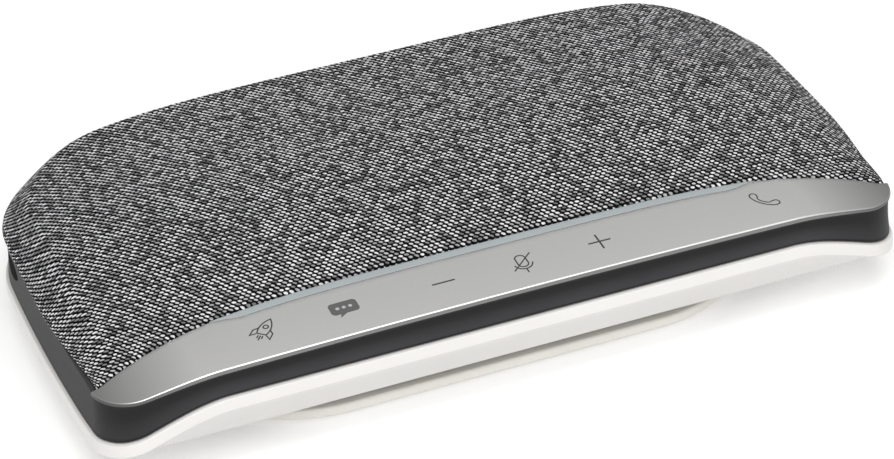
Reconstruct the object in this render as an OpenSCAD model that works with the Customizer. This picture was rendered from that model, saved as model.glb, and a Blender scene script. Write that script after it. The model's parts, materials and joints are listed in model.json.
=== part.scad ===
// Conference speakerphone: a wide, low desk unit with a fabric dome, a sloped touch bar
// along its front edge, a dark wall, a white base and a round-ended foot.
// Origin: centre of the footprint on the table. +X right, -Y front (the bar), +Z up.

/* [Overall size] */
// Width over the base rim
body_w = 182; // [176:1:190]
// Depth over the base rim
body_d = 95; // [93:0.5:99]
// Height from the table to the top of the fabric
body_h = 34.7; // [34.2:0.1:35.5]

/* [Plan shape] */
// Corner radius at the front
front_r = 10; // [9:0.5:12]
// Corner radius at the back
back_r = 27.5; // [26:0.5:28]
// Outward bow of the left and right sides
side_bow = 2; // [1:0.1:2.5]

/* [Base and wall] */
// Height of the base shell's lower edge above the table
base_z = 7.9; // [7.7:0.1:8.1]
// Height of the base rim at the corners, sides and back
rim_z = 11; // [10.8:0.1:11.2]
// Extra height of the base rim along the middle of the front
rim_rise = 7.5; // [6.5:0.1:7.8]
// Height of the fabric's lower edge
fabric_z = 22.2; // [22:0.1:22.6]
// Inset of the base shell's lower edge from its rim
base_tuck = 4.3; // [3.5:0.1:4.6]
// Height of the upright band under the base rim
skirt_band = 2.9; // [2.5:0.1:3]
// Wall thickness of the dark housing
wall_t = 1.8; // [1.4:0.1:2]

/* [Fabric dome] */
// Thickness of the fabric cover
fabric_t = 1.3; // [0.8:0.1:1.4]
// Width of the rolled shoulder around the dome
shoulder_w = 6.6; // [5:0.2:7]
// Roundness of the shoulder: 1 is a chamfer, 2 is a quarter circle
shoulder_power = 1.3; // [1.3:0.1:1.8]
// Drop of the crown at the left and right ends
end_drop = 8.8; // [8:0.2:9.2]
// Steepness of that drop: higher keeps the middle flatter
end_power = 5; // [4.5:0.1:5.5]
// Drop of the crown's curve at the front of the body
front_drop = 16.9; // [16:0.1:17.4]
// Extra drop of the crown towards its back corners
corner_drop = 5.2; // [4:0.2:5.6]
// Extra inset of the fabric at the front ends of its sides
front_in = 1.5; // [0.8:0.1:1.6]

/* [Control bar] */
// Distance of the bar's upper edge in front of the centre
bar_top_y = 28.1; // [27.6:0.1:28.6]
// Extra forward sweep of that edge at the ends
bar_sweep = 10.2; // [9.6:0.2:10.6]
// Thickness of the bar's front lip in the middle
lip_t = 1.2; // [1:0.1:1.4]
// Width of the light strip along the bar's upper edge
light_w = 2.4; // [2:0.1:2.8]
// Half length of the light strip
light_half = 62; // [50:1:64]

/* [Foot] */
// Length of the foot
foot_w = 134; // [130:1:136]
// Depth of the foot
foot_d = 78.4; // [78:0.2:79]
// Corner radius of the foot
foot_r = 32; // [31:0.5:34]

/* [Audio parts] */
// Radius of the loudspeaker's opening
speaker_r = 20; // [19:0.5:20.5]
// Radius of each passive radiator's opening
radiator_r = 17; // [15:0.5:17]
// Distance of each passive radiator from the centre
radiator_x = 52; // [51:0.5:53]
// Distance of the audio parts behind the centre
audio_y = 4; // [3:0.5:5]

/* [Side keys] */
// Travel of each side key
key_travel = 0.5; // [0.4:0.1:0.5]
// Height of the keys, the port and the light pipe above the table
side_z = 15.6; // [15.4:0.1:15.8]

/* [Hidden] */

$fn = 64;
gap = 0.1;
half_w = body_w / 2;
half_d = body_d / 2;
corner_steps = 8;
front_steps = 28;
back_steps = 12;
side_steps = 8;

// Insets of each skin from the base rim
fabric_in = 0.7;
wall_in = 1.4;
lip_in = 0.95;

// Insets at which the base rim's ledge is sampled, shared with the seal and the wall
seam_insets = [0.3, 0.75, wall_in + 0.3, wall_in + 1.2, wall_in + wall_t];

// Where the front edge leaves its flat middle and reaches its low corners
rise_start = 62;
rise_end = 90;
seam_end = 94.5;

// Upper edge of the dark wall: drop along the front, rise of the middle, and its slight arch
wall_dip = 0.9;
wall_rise = 2.7;
wall_arch = 0.6;

floor_t = 1.8;
floor_top = base_z + floor_t;
opening_x = 50;
opening_y = 30;
opening_r = 26;
pad_t = 0.8;
flange_t = 2.6;
flange_top = pad_t + flange_t;
waist_in = 5.5;
cable_r = 1.8;
cable_z = (flange_top + base_z) / 2;

board_z = 11;
board_t = 1.2;
box_z = 15;
box_wall = 1.4;
baffle_z = 22.4;
baffle_t = 1.6;
baffle_top = baffle_z + baffle_t;
cone_z = baffle_top + 0.9;

// ---------- general functions ----------

function smooth(t) = let (c = min(max(t, 0), 1)) c * c * (3 - 2 * c);

// 1 along the flat middle of the front edge, 0 at its corners
function rise(x) = smooth((rise_end - abs(x)) / (rise_end - rise_start));

// 0 behind the front edge, 1 at the front edge
function frontness(y) = min(max((-y - 30) / 12, 0), 1);

function arc(cx, cy, r, start) = [
    for (i = [0 : corner_steps])
        let (a = start + 90 * i / corner_steps)
        [cx + r * cos(a), cy + r * sin(a)]
];

// Points strictly between two corners
function between(a, b, steps) = [for (i = [1 : steps - 1]) a + (b - a) * i / steps];

// Pulls a plan point in so that the sides bow outwards in the middle
function bowed(x, y) = [x - sign(x) * side_bow * pow(y / half_d, 2) * pow(abs(x) / half_w, 3), y];

// Rounded rectangle with bowed sides, counterclockwise from the front left
function round_plan(hx, hy, rf, rb) =
    let (
        front = between([-hx + rf, -hy], [hx - rf, -hy], front_steps),
        right = between([hx, -hy + rf], [hx, hy - rb], side_steps),
        back = between([hx - rb, hy], [-hx + rb, hy], back_steps),
        left = between([-hx, hy - rb], [-hx, -hy + rf], side_steps)
    )
    [for (p = concat(
        front, arc(hx - rf, -hy + rf, rf, -90), right, arc(hx - rb, hy - rb, rb, 0),
        back, arc(-hx + rb, hy - rb, rb, 90), left, arc(-hx + rf, -hy + rf, rf, 180)
    )) bowed(p[0], p[1])];

// Plan outline of the body, moved inwards by inset
function outline(inset) =
    round_plan(half_w - inset, half_d - inset, max(front_r - inset, 0.5), back_r - inset);

function at_height(plan, z) = [for (p = plan) [p[0], p[1], z]];

// Height of the seam between the white base and the dark wall
function seam_z(p) =
    rim_z + rim_rise * smooth((seam_end - abs(p[0])) / (seam_end - rise_start)) * frontness(p[1]);

// Height of the dark wall's upper edge
function wall_top(p) =
    fabric_z - gap - wall_dip * smooth((-p[1] - 35) / 4)
    + (wall_rise * rise(p[0]) + wall_arch * max(1 - pow(p[0] / rise_start, 2), 0)) * frontness(p[1]);

// ---------- solids from rings and grids ----------

// Skin through a list of rings, closed on itself like a tyre
module loft(rings) {
    n = len(rings[0]);
    m = len(rings);
    polyhedron(
        [for (r = rings) each r],
        [
            for (k = [0 : m - 1], i = [0 : n - 1])
                let (a = k * n + i, b = k * n + (i + 1) % n, up = ((k + 1) % m - k) * n)
                each [[a, b + up, b], [a, a + up, b + up]]
        ]
    );
}

// Solid between an upper and a lower grid of points, indexed [along x][along y].
// Its left and right halves are triangulated as mirror images.
module slab(upper, lower) {
    nu = len(upper);
    nv = len(upper[0]);
    under = nu * nv;
    top = [
        for (u = [0 : nu - 2], v = [0 : nv - 2])
            let (a = u * nv + v, b = a + 1, c = a + nv + 1, d = a + nv)
            each u < (nu - 1) / 2 ? [[a, b, d], [b, c, d]] : [[a, b, c], [a, c, d]]
    ];
    bottom = [for (f = top) [f[2] + under, f[1] + under, f[0] + under]];
    rim = concat(
        [for (u = [0 : nu - 1]) u * nv],
        [for (v = [1 : nv - 1]) (nu - 1) * nv + v],
        [for (u = [nu - 2 : -1 : 0]) u * nv + nv - 1],
        [for (v = [nv - 2 : -1 : 1]) v]
    );
    edge = [
        for (i = [0 : len(rim) - 1])
            let (a = rim[i], b = rim[(i + 1) % len(rim)])
            each [[a, b, b + under], [a, b + under, a + under]]
    ];
    polyhedron(concat([for (r = upper) each r], [for (r = lower) each r]), concat(top, bottom, edge));
}

// Flat plate with four equal round corners, standing on z = 0
module plate(w, d, r, h) {
    linear_extrude(h) {
        square([w - 2 * r, d], center = true);
        square([w, d - 2 * r], center = true);
        for (x = [-1, 1], y = [-1, 1])
            translate([x * (w / 2 - r), y * (d / 2 - r)]) circle(r);
    }
}

module block(x0, y0, z0, w, d, h) {
    translate([x0 - w / 2, y0 - d / 2, z0]) cube([w, d, h]);
}

module disc(x, y, z, r, h) {
    translate([x, y, z]) cylinder(r = r, h = h);
}

module tube(x, y, z, r_out, r_in, h) {
    difference() {
        disc(x, y, z, r_out, h);
        disc(x, y, z - 1, r_in, h + 2);
    }
}

// ---------- dome surface ----------

fabric_x = half_w - fabric_in;
fabric_y = half_d - fabric_in;
crown_y = 13.7;
front_ease = 0.7;

// Height of the fabric's outer face before its shoulder rolls over
function crown_z(x, y) =
    let (end = pow(abs(x) / fabric_x, 4))
    body_h
    - end_drop * pow(abs(x) / fabric_x, end_power)
    - front_drop * (1 - front_ease * end) * pow(max(crown_y - y, 0) / (crown_y + fabric_y), 2)
    - corner_drop * end * pow(max(y, 0) / fabric_y, 2);

// Height of a dome skin at some depth below the fabric's outer face.
// The skins thin out together where the crown comes down to the fabric's lower edge.
grille_t = 0.7;
dome_depth = fabric_t + gap + grille_t;
function skin_z(x, y, depth) =
    max(crown_z(x, y) - depth, fabric_z + 0.1 + 0.4 * (1 - depth / dome_depth));

// Share of the full height reached at a distance in from the dome's edge
function shoulder(d) =
    let (s = min(max(1 - d / shoulder_w, 0), 1))
    pow(1 - pow(s, shoulder_power), 1 / shoulder_power);

// Plan position of the bar's upper edge, which sweeps forward towards the tips
function bar_edge_y(x) = -bar_top_y - bar_sweep * pow(abs(x) / fabric_x, 4);

// Bowed plan point of the fabric, whose sides draw in further towards the front
function drawn_in(x, y) =
    bowed(x, y) - [sign(x) * front_in * smooth((-y - 8) / 30) * pow(abs(x) / fabric_x, 6), 0];

// Moves a point of a square-cornered sheet onto one with round back corners
function round_back(x, y, hx, hy, r) =
    let (p = max(abs(x) - hx + r, 0) / r, q = max(y - hy + r, 0) / r)
    p * q == 0 ? [x, y] :
    let (a = p > q ? 45 * q / p : 90 - 45 * p / q, far = max(p, q) * r)
    [sign(x) * (hx - r + far * cos(a)), hy - r + far * sin(a)];

// Sheet positions from one edge inwards: closely spaced over the shoulder
shoulder_steps = 6;
function shoulder_stations(half) = [
    for (i = [0 : shoulder_steps]) half - shoulder_w * (1 - cos(90 * i / shoulder_steps))
];

// Point on a dome skin that lies depth below the fabric's outer face.
// x and y are positions on the square-cornered sheet.
function dome_point(x, y, depth) =
    let (
        hx = fabric_x - depth,
        hy = fabric_y - depth,
        flat = round_back(x, y, hx, hy, back_r - fabric_in - depth),
        b = drawn_in(flat[0], flat[1]),
        d = min(hx - abs(x), hy - y),
        z = skin_z(b[0], b[1], depth)
    )
    [b[0], b[1], fabric_z + (z - fabric_z) * shoulder(d)];

mid_columns = 22;
mid_rows = 10;
function dome_grid(depth) =
    let (
        hx = fabric_x - depth,
        hy = fabric_y - depth,
        ends = shoulder_stations(hx),
        inner = hx - shoulder_w,
        xs = concat(
            [for (s = ends) -s],
            [for (i = [1 : mid_columns - 1]) inner * (2 * i / mid_columns - 1)],
            [for (i = [shoulder_steps : -1 : 0]) ends[i]]
        ),
        back = shoulder_stations(hy)
    )
    [for (x = xs)
        let (front = bar_edge_y(x) + 2 * gap, span = hy - shoulder_w - front)
        concat(
            [for (j = [0 : mid_rows - 1]) dome_point(x, front + span * j / mid_rows, depth)],
            [for (j = [shoulder_steps : -1 : 0]) dome_point(x, back[j], depth)]
        )
    ];

// ---------- control face ----------

lip_half = half_w - lip_in;
lip_front = half_d - lip_in;
lip_r = front_r - lip_in;
tip_angle = 84;

// Thickness of the bar, thinner at its tips
function bar_t(x) = 0.9 + (lip_t - 0.9) * rise(x);

// Point on the bar's front lip; s runs from -1 at the left tip to 1 at the right tip
tip_x = 89.5;
function lip_point(x) =
    let (
        straight = lip_half - lip_r,
        turn = max(abs(x) - straight, 0) / (tip_x - straight) * tip_angle,
        px = turn > 0 ? sign(x) * (straight + lip_r * sin(turn)) : x,
        py = -lip_front + lip_r * (1 - cos(turn)),
        b = bowed(px, py)
    )
    [b[0], b[1], wall_top(b) + gap + bar_t(x)];

// Point on the upper edge of the control face, where it meets the fabric
function face_top(x) =
    let (b = drawn_in(x, bar_edge_y(x)))
    [b[0], b[1], fabric_z + (skin_z(b[0], b[1], 0) - fabric_z) * shoulder(fabric_x - abs(x))];

// Control face from its upper edge (v = 0) to the front lip (v = 1), very slightly crowned
face_crown = 0.35;
function face_point(x, v) =
    let (a = face_top(x), b = lip_point(x))
    a + (b - a) * v + [0, 0, 4 * face_crown * v * (1 - v) * rise(x)];

// Share of the face's depth that the light strip takes
function light_share(x) =
    light_w / (lip_front - bar_top_y) * smooth((light_half - abs(x)) / 8) + 0.006;

// Row of points down the face between two shares of its depth, lowered by a share of its thickness
function face_row(x, v0, v1, steps, drop) = [
    for (j = [steps : -1 : 0])
        face_point(x, v0 + (v1 - v0) * j / steps) - [0, 0, drop * bar_t(x)]
];

// ---------- external shells ----------

// White shell: tucked-under skirt, raised front rim, ledge for the dark wall, open floor
module base_shell() {
    outer = outline(0);
    inner = outline(base_tuck);
    opening = round_plan(opening_x, opening_y, opening_r, opening_r);
    color("whitesmoke")
    loft(concat(
        [at_height(opening, floor_top), at_height(opening, base_z)],
        [at_height(outline(base_tuck + 0.6), base_z)],
        [for (t = [0, 0.3, 0.7, 0.95, 1.05, 1.5, 2])
            [for (i = [0 : len(outer) - 1]) skirt_point(outer[i], inner[i], t)]],
        [for (inset = seam_insets) [for (p = outline(inset)) [p[0], p[1], seam_z(p)]]],
        [at_height(outline(base_tuck + 0.8), floor_top)]
    ));
}

// Point on the shell's outer face. t runs from 0 at its lower edge, through 1 at the crease
// below the upright band, to 2 at the rim.
skirt_edge = 0.15;
function skirt_point(outer, inner, t) =
    let (
        low = base_z + skirt_edge,
        top = seam_z(outer) - skirt_edge,
        crease = max(top - skirt_band, low + 0.1),
        tuck = max(1 - t, 0) + 0.03 * max(t - 1, 0),
        z = t < 1 ? low + (crease - low) * t : crease + (top - crease) * (t - 1)
    )
    [each outer + (inner - outer) * tuck, z];

// Inner plate that ties the foot, the shell and the speaker box together
plate_t = 1;
plate_z = floor_top + 0.05;
plate_boss_h = 2.6;
plate_boss_top = plate_z + plate_boss_h;
module base_plate() {
    color([0.3, 0.3, 0.31])
    difference() {
        union() {
            translate([0, 2, plate_z]) plate(2 * box_screw_x + 8, 62, 6, plate_t);
            for (p = box_spots)
                disc(p[0], p[1], plate_z, 3, plate_boss_h);
            for (p = foot_spots)
                disc(p[0], p[1], base_z + 0.05, 3, plate_z - base_z);
        }
        for (p = box_spots)
            disc(p[0], p[1], plate_z - 1, 0.9, 6);
        for (p = foot_spots)
            disc(p[0], p[1], base_z - 1, 0.9, 6);
    }
}

// Rubber gasket under the dark wall
module housing_seal() {
    color("dimgray")
    loft([
        for (step = [
            [seal_out, seal_gap], [seal_out, seal_t - seal_gap],
            [seal_in, seal_t - seal_gap], [seal_in, seal_gap]
        ])
            [for (p = outline(step[0])) [p[0], p[1], seam_z(p) + step[1]]]
    ]);
}

seal_t = 0.4;
seal_gap = 0.07;
seal_out = wall_in + 0.3;
seal_in = wall_in + 1.2;

// Dark wall between the base and the dome, slightly hollow in its height
module mid_housing() {
    color([0.2, 0.2, 0.21])
    difference() {
        wall_skin();
        for (k = key_spots)
            key_slot(k, 0.15, half_w - 6, 8);
        block(half_w - 2, port_y, side_z - port_h / 2 - 0.2, 8, port_w + 0.4, port_h + 0.4);
        disc_x(half_w - 6, pipe_y, side_z, pipe_r + 0.1, 8);
        strap_slot();
    }
}

module wall_skin() {
    sections = [
        [0.75, 0], [1.15, 0.3], [wall_in, 0.65], [wall_in, 1],
        [wall_in + wall_t, 1], [wall_in + wall_t, 0], [seal_in, 0], [seal_out, 0]
    ];
    loft([
        for (s = sections)
            [for (p = outline(s[0]))
                let (low = seam_z(p) + seal_t)
                [p[0], p[1], low + (wall_top(p) - low) * s[1]]]
    ]);
}

// Pocket in the left wall that a wrist strap is looped through
slot_y = 19;
slot_z = 17;
slot_len = 10;
slot_h = 4.4;
module strap_slot() {
    lens_r = (pow(slot_len / 2, 2) + pow(slot_h / 2, 2)) / slot_h;
    translate([-half_w + 4, slot_y, slot_z])
        rotate([0, -90, 0])
        linear_extrude(8)
        intersection() {
            translate([lens_r - slot_h / 2, 0]) circle(lens_r);
            translate([slot_h / 2 - lens_r, 0]) circle(lens_r);
        }
}

// Blind pocket behind the slot, with a pin across it for the strap
pocket_x = -half_w + 4.6;
pocket_depth = 4.5;
module strap_pocket() {
    color([0.14, 0.14, 0.15])
    difference() {
        block(pocket_x + pocket_depth / 2, slot_y, slot_z - 2.8, pocket_depth, slot_len + 3, 5.6);
        block(pocket_x + pocket_depth / 2 - 1, slot_y, slot_z - 2.2, pocket_depth, slot_len + 1.6, 4.4);
    }
}

module strap_pin() {
    color("gray")
    disc(pocket_x + 1.2, slot_y, slot_z - 2.15, 0.9, 4.3);
}

module fabric_cover() {
    color([0.42, 0.42, 0.44])
    slab(dome_grid(0), dome_grid(fabric_t));
}

module grille_mesh() {
    color("black")
    slab(dome_grid(fabric_t + gap), dome_grid(dome_depth));
}

// Ring that carries the lower edge of the grille
module dome_frame() {
    inner = wall_in + wall_t + 2;
    color([0.15, 0.15, 0.16])
    loft([
        for (s = [[inner - 1.85, -2.2], [inner - 1.85, -0.6], [inner, -0.6], [inner, -2.2]])
            [for (p = outline(s[0])) [p[0], p[1], wall_top(p) + s[1]]]
    ]);
}

// ---------- control bar ----------

bar_columns = 44;
function bar_stations(half, steps) = [
    for (i = [0 : steps]) half * sin(90 * (2 * i / steps - 1)) * 0.25
        + half * (2 * i / steps - 1) * 0.75
];

function bar_grid(xs, drop) = [for (x = xs) face_row(x, light_share(x) + 0.01, 1, 6, drop)];
function strip_grid(xs, drop) = [for (x = xs) face_row(x, 0, light_share(x), 2, drop)];

module control_bar() {
    xs = bar_stations(tip_x, bar_columns);
    color([0.76, 0.75, 0.74])
    slab(bar_grid(xs, 0), bar_grid(xs, 1));
}

module light_strip() {
    xs = [for (x = bar_stations(tip_x, bar_columns)) if (abs(x) < light_half) x];
    color([0.62, 0.7, 0.75])
    slab(strip_grid(xs, 0), strip_grid(xs, 1));
}

// Places something along the control face: x, share of its depth, depth below it
face_slope = atan2(face_top(0)[2] - lip_point(0)[2], face_top(0)[1] - lip_point(0)[1]);
module on_face(x, v, below) {
    translate(face_point(0, v) + [x, 0, 0])
        rotate([face_slope, 0, 0])
        translate([0, 0, -below])
        children();
}

touch_v = 0.5;
touch_below = 3.2;
module touch_board() {
    color("darkgreen")
    on_face(0, touch_v, touch_below)
        translate([-62, -3.2, 0]) cube([124, 6.4, 0.8]);
}

module led_board() {
    color("white")
    on_face(0, 0.09, 5.6) {
        translate([-56, -1.2, 0]) cube([112, 2.4, 0.6]);
        for (i = [-4 : 4])
            translate([i * 13 - 0.8, -0.6, 0.6]) cube([1.6, 1.2, 0.7]);
    }
}

// Flat flexible cable from the touch board down to the main board
module touch_ribbon() {
    ahead = 1.4;
    from = face_point(0, touch_v) + [
        0,
        touch_below * sin(face_slope) - ahead,
        -touch_below * cos(face_slope) - ahead * tan(face_slope) - gap
    ];
    y0 = from[1];
    z0 = from[2];
    y1 = -main_d / 2 + 1;
    z1 = board_z + board_t + 1.2;
    color("orange")
    translate([-24, 0, 0])
        rotate([90, 0, 90])
        linear_extrude(10)
        polygon([
            [y0, z0], [y0, z1], [y1, z1], [y1, z1 + 0.2], [y0 + 0.2, z1 + 0.2], [y0 + 0.2, z0]
        ]);
}

// ---------- foot, cable and plug ----------

bay_w = 52;
bay_d = 13;
module foot() {
    color([0.94, 0.92, 0.88])
    difference() {
        union() {
            translate([0, 0, pad_t]) plate(foot_w, foot_d, foot_r, flange_t);
            translate([0, 0, pad_t])
                plate(foot_w - 2 * waist_in, foot_d - 2 * waist_in, foot_r - waist_in, base_z - pad_t);
        }
        difference() {
            translate([0, 0, pad_t + foot_floor])
                plate(foot_w - 2 * waist_in - 4, foot_d - 2 * waist_in - 18.4, 20, base_z);
            for (p = foot_spots)
                disc(p[0], p[1], 0, 3.4, base_z);
        }
        block(0, foot_d / 2 - bay_d / 2 + 1, pad_t + 1.2, bay_w, bay_d + 2, base_z);
        for (p = foot_spots) {
            disc(p[0], p[1], 0, 1.2, base_z + 2);
            disc(p[0], p[1], 0, 2.4, screw_seat);
        }
    }
}

// Thin rubber sole with a recess for each screw head
module foot_pad() {
    color([0.85, 0.84, 0.81])
    difference() {
        plate(foot_w - 5, foot_d - 5, foot_r - 2.5, pad_t);
        translate([0, 0, -1]) plate(foot_w - 37, foot_d - 37, foot_r - 18.5, pad_t + 2);
    }
}

foot_floor = 1.4;
screw_seat = 3;
foot_spots = [for (x = [-1, 1], y = [-1, 1]) [x * 44, y * 12]];
module foot_screws() {
    color("silver")
    for (p = foot_spots) {
        disc(p[0], p[1], screw_seat - 1.3, 2.2, 1.3);
        disc(p[0], p[1], screw_seat - 0.1, 0.85, floor_top - screw_seat);
    }
}

// Centre line of the channel around the foot's waist
cable_y = foot_d / 2 - waist_in + cable_r + 0.15;
cable_x = foot_w / 2 - waist_in + cable_r + 0.15;
bend_r = foot_r - waist_in + cable_r + 0.15;

module rod_x(x0, x1, y) {
    translate([x0, y, cable_z]) rotate([0, 90, 0]) cylinder(r = cable_r, h = x1 - x0);
}

module disc_x(x, y, z, r, h) {
    translate([x, y, z]) rotate([0, 90, 0]) cylinder(r = r, h = h);
}

module bend(x, y, start) {
    translate([x, y, cable_z])
        rotate([0, 0, start])
        rotate_extrude(angle = 90)
        translate([bend_r, 0]) circle(cable_r);
}

plug_x = -17;
plug_len = 12;
grip_len = 19;
module usb_cable() {
    straight_x = cable_x - bend_r;
    straight_y = cable_y - bend_r;
    color([0.25, 0.25, 0.26]) {
        rod_x(plug_x + plug_len + grip_len - 3.9, straight_x, cable_y);
        bend(straight_x, straight_y, 0);
        for (side = [-1, 1])
            translate([side * cable_x, -straight_y, cable_z]) cylinder_y(cable_r, 2 * straight_y);
        bend(straight_x, -straight_y, -90);
        rod_x(-straight_x, straight_x, -cable_y);
        bend(-straight_x, -straight_y, 180);
        bend(-straight_x, straight_y, 90);
        rod_x(-straight_x, grommet_x + 3.8, cable_y);
    }
}

module cylinder_y(r, h) {
    rotate([-90, 0, 0]) cylinder(r = r, h = h);
}

grommet_x = -bay_w / 2 + 0.2;
module cable_grommet() {
    color([0.25, 0.25, 0.26])
    difference() {
        block(grommet_x + 2.6, cable_y, cable_z - 2.2, 5.2, 6, 4.4);
        disc_x(grommet_x - 1, cable_y, cable_z, cable_r + 0.05, 5);
    }
}

module plug_grip() {
    color([0.2, 0.2, 0.21])
    difference() {
        block(plug_x + plug_len + grip_len / 2, cable_y, cable_z - 2.6, grip_len, 11, 4.7);
        disc_x(plug_x + plug_len + grip_len - 4, cable_y, cable_z, cable_r + 0.05, 5);
    }
}

module plug_shell() {
    color("silver")
    block(plug_x + plug_len / 2, cable_y, cable_z - 1.3, plug_len, 8.4, 2.6);
}

// ---------- boards and battery ----------

battery_w = 72;
battery_d = 40;
battery_h = 6.4;
battery_z = pad_t + foot_floor + 0.8;
module battery_pack() {
    color("silver")
    translate([0, 0, battery_z]) plate(battery_w, battery_d, 2, battery_h);
}

module battery_foam() {
    color("black")
    translate([0, 0, battery_z - 0.75]) plate(battery_w - 8, battery_d - 8, 2, 0.7);
}

main_w = 136;
main_d = 62;
module main_board() {
    color("darkgreen")
    difference() {
        translate([0, 2, board_z]) plate(main_w, main_d, 3, board_t);
        for (p = box_spots)
            disc(p[0], p[1], board_z - 1, 3.6, 4);
    }
}

module processor_can() {
    color("silver")
    block(-34, 0, board_z + board_t + 0.02, 26, 22, 2);
}

module board_chips() {
    color([0.12, 0.12, 0.13])
    for (c = [[-4, 10, 9], [12, -6, 7], [28, 8, 10], [44, -10, 6], [-8, -14, 5]])
        block(c[0], c[1], board_z + board_t + 0.02, c[2], c[2], 1.1);
}

module board_connectors() {
    color("ivory") {
        block(-19, -main_d / 2 + 5.8, board_z + board_t + 0.02, 12, 3.2, 1.1);
        block(60, 14, board_z + board_t + 0.02, 4, 10, 1.8);
        block(56, -14, board_z + board_t + 0.02, 4, 8, 1.8);
    }
}

// ---------- loudspeaker and passive radiators ----------

box_w = 148;
box_d = 60;
box_y = 4;
box_screw_x = 66;
box_spots = [for (x = [-1, 1], y = [-1, 1]) [x * box_screw_x, box_y + y * 24]];
radiator_spots = [[-radiator_x, audio_y], [radiator_x, audio_y]];

module speaker_box() {
    color([0.16, 0.16, 0.17])
    difference() {
        union() {
            translate([0, box_y, box_z]) plate(box_w, box_d, 6, baffle_z - box_z);
            for (p = box_spots)
                disc(p[0], p[1], plate_boss_top + gap, 3, box_z - plate_boss_top);
        }
        difference() {
            translate([0, box_y, box_z + box_wall])
                plate(box_w - 2 * box_wall, box_d - 2 * box_wall, 5, baffle_z);
            for (p = box_spots)
                disc(p[0], p[1], box_z, 3, baffle_z);
        }
        for (p = box_spots)
            disc(p[0], p[1], floor_top - 1, 1.1, baffle_z);
    }
}

module box_screws() {
    screw_end = plate_z + 0.2;
    color("silver")
    for (p = box_spots) {
        disc(p[0], p[1], baffle_top + 0.02, 2, 1.1);
        disc(p[0], p[1], screw_end, 0.85, baffle_top + 0.1 - screw_end);
    }
}

module baffle() {
    color([0.2, 0.2, 0.21])
    difference() {
        translate([0, box_y, baffle_z + 0.02]) plate(box_w, box_d, 6, baffle_t - 0.02);
        disc(0, audio_y, baffle_z - 1, speaker_r + 0.6, 4);
        for (p = radiator_spots)
            disc(p[0], p[1], baffle_z - 1, radiator_r + 0.6, 4);
        for (p = box_spots)
            disc(p[0], p[1], baffle_z - 1, 1.1, 4);
    }
}

// Pressed frame: flange, open cup and a floor ring around the magnet
module speaker_basket() {
    color("dimgray") {
        tube(0, audio_y, baffle_top + 0.02, speaker_r + 3, speaker_r - 0.6, 1);
        tube(0, audio_y, baffle_top - 3.4, speaker_r + 0.4, speaker_r - 0.6, 3.42);
        difference() {
            tube(0, audio_y, baffle_top - 4.2, speaker_r + 0.4, magnet_r - 2, 0.8);
            for (a = [0 : 60 : 300])
                rotate_about(a) block(magnet_r + 2.6, 0, baffle_top - 5, 2.6, 6, 3);
        }
    }
}

module rotate_about(a) {
    translate([0, audio_y, 0]) rotate([0, 0, a]) children();
}

magnet_r = 12;
coil_r = 7;
module speaker_magnet() {
    color([0.35, 0.35, 0.37]) {
        tube(0, audio_y, baffle_top - 4.2 - 2.6, magnet_r, coil_r + 0.6, 2.58);
        disc(0, audio_y, box_z + box_wall + 0.05, magnet_r, 0.75);
        disc(0, audio_y, box_z + box_wall + 0.8, coil_r - 0.7, 3.4);
    }
}

module voice_coil() {
    color("orangered")
    tube(0, audio_y, cone_z - 5.8, coil_r + 0.1, coil_r - 0.2, 4.05);
}

// Cone, dust cap and half-roll surround in one revolved profile
module speaker_cone() {
    color([0.1, 0.1, 0.11])
    translate([0, audio_y, cone_z])
        rotate_extrude()
        polygon(concat(
            [[0, -0.4], [coil_r, -1], [coil_r + 1, -1]],
            roll_profile(speaker_r - 2.9, 1, 1.7, 1),
            [[speaker_r - 0.9, 0.9], [speaker_r - 0.9, 0.6]],
            roll_profile(speaker_r - 2.9, 0.6, 1.3, -1),
            [[speaker_r - 4.6, 0.4], [coil_r + 0.4, -1.7], [coil_r - 0.4, -1.7], [0, -0.8]]
        ));
}

// Half circle of points, left to right for dir 1 and right to left for dir -1
function roll_profile(x, z, r, dir) = [
    for (i = [0 : 8]) let (a = dir > 0 ? 180 - 22.5 * i : 22.5 * i) [x + r * cos(a), z + r * sin(a)]
];

module radiator_frames() {
    color("dimgray")
    for (p = radiator_spots) {
        tube(p[0], p[1], baffle_top + 0.02, radiator_r + 2.6, radiator_r, 0.8);
        tube(p[0], p[1], baffle_top - 1.5, radiator_r + 0.5, radiator_r, 1.55);
    }
}

module radiator(x) {
    color([0.1, 0.1, 0.11])
    translate([x, audio_y, baffle_top - 0.2])
        rotate_extrude()
        polygon(concat(
            [[0, 0.9], [radiator_r - 5.2, 0.9]],
            roll_profile(radiator_r - 2.7, 0.6, 2.2, 1),
            [[radiator_r - 0.2, 0.6], [radiator_r - 0.2, 0.2]],
            roll_profile(radiator_r - 2.7, 0.2, 1.7, -1),
            [[radiator_r - 5.2, -0.3], [0, -0.3]]
        ));
    color("silver")
    disc(x, audio_y, baffle_top - 1.6, radiator_r - 8, 1.1);
}

module radiator_left() {
    radiator(-radiator_x);
}

module radiator_right() {
    radiator(radiator_x);
}

// ---------- microphones ----------

mic_spots = [[-57, -20], [0, -22.3], [57, -20]];
mic_boot_h = 1.4;
module mic_boots() {
    color("black")
    for (p = mic_spots)
        tube(p[0], p[1], baffle_top + 0.02, 3, 1.6, mic_boot_h);
}

module microphones() {
    color("gold")
    for (p = mic_spots)
        disc(p[0], p[1], baffle_top + 0.02, 1.5, 1.1);
}

// ---------- keys, port and light pipe on the right side ----------

power_y = -18;
pairing_y = -5;
port_y = 14;
port_w = 13.2;
port_h = 5.8;
port_len = 6.3;
pipe_y = 27;
pipe_r = 1;
key_w = 8.4;
key_h = 3.4;
key_spots = [power_y, pairing_y];
side_x = half_w - 9.5;

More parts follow.
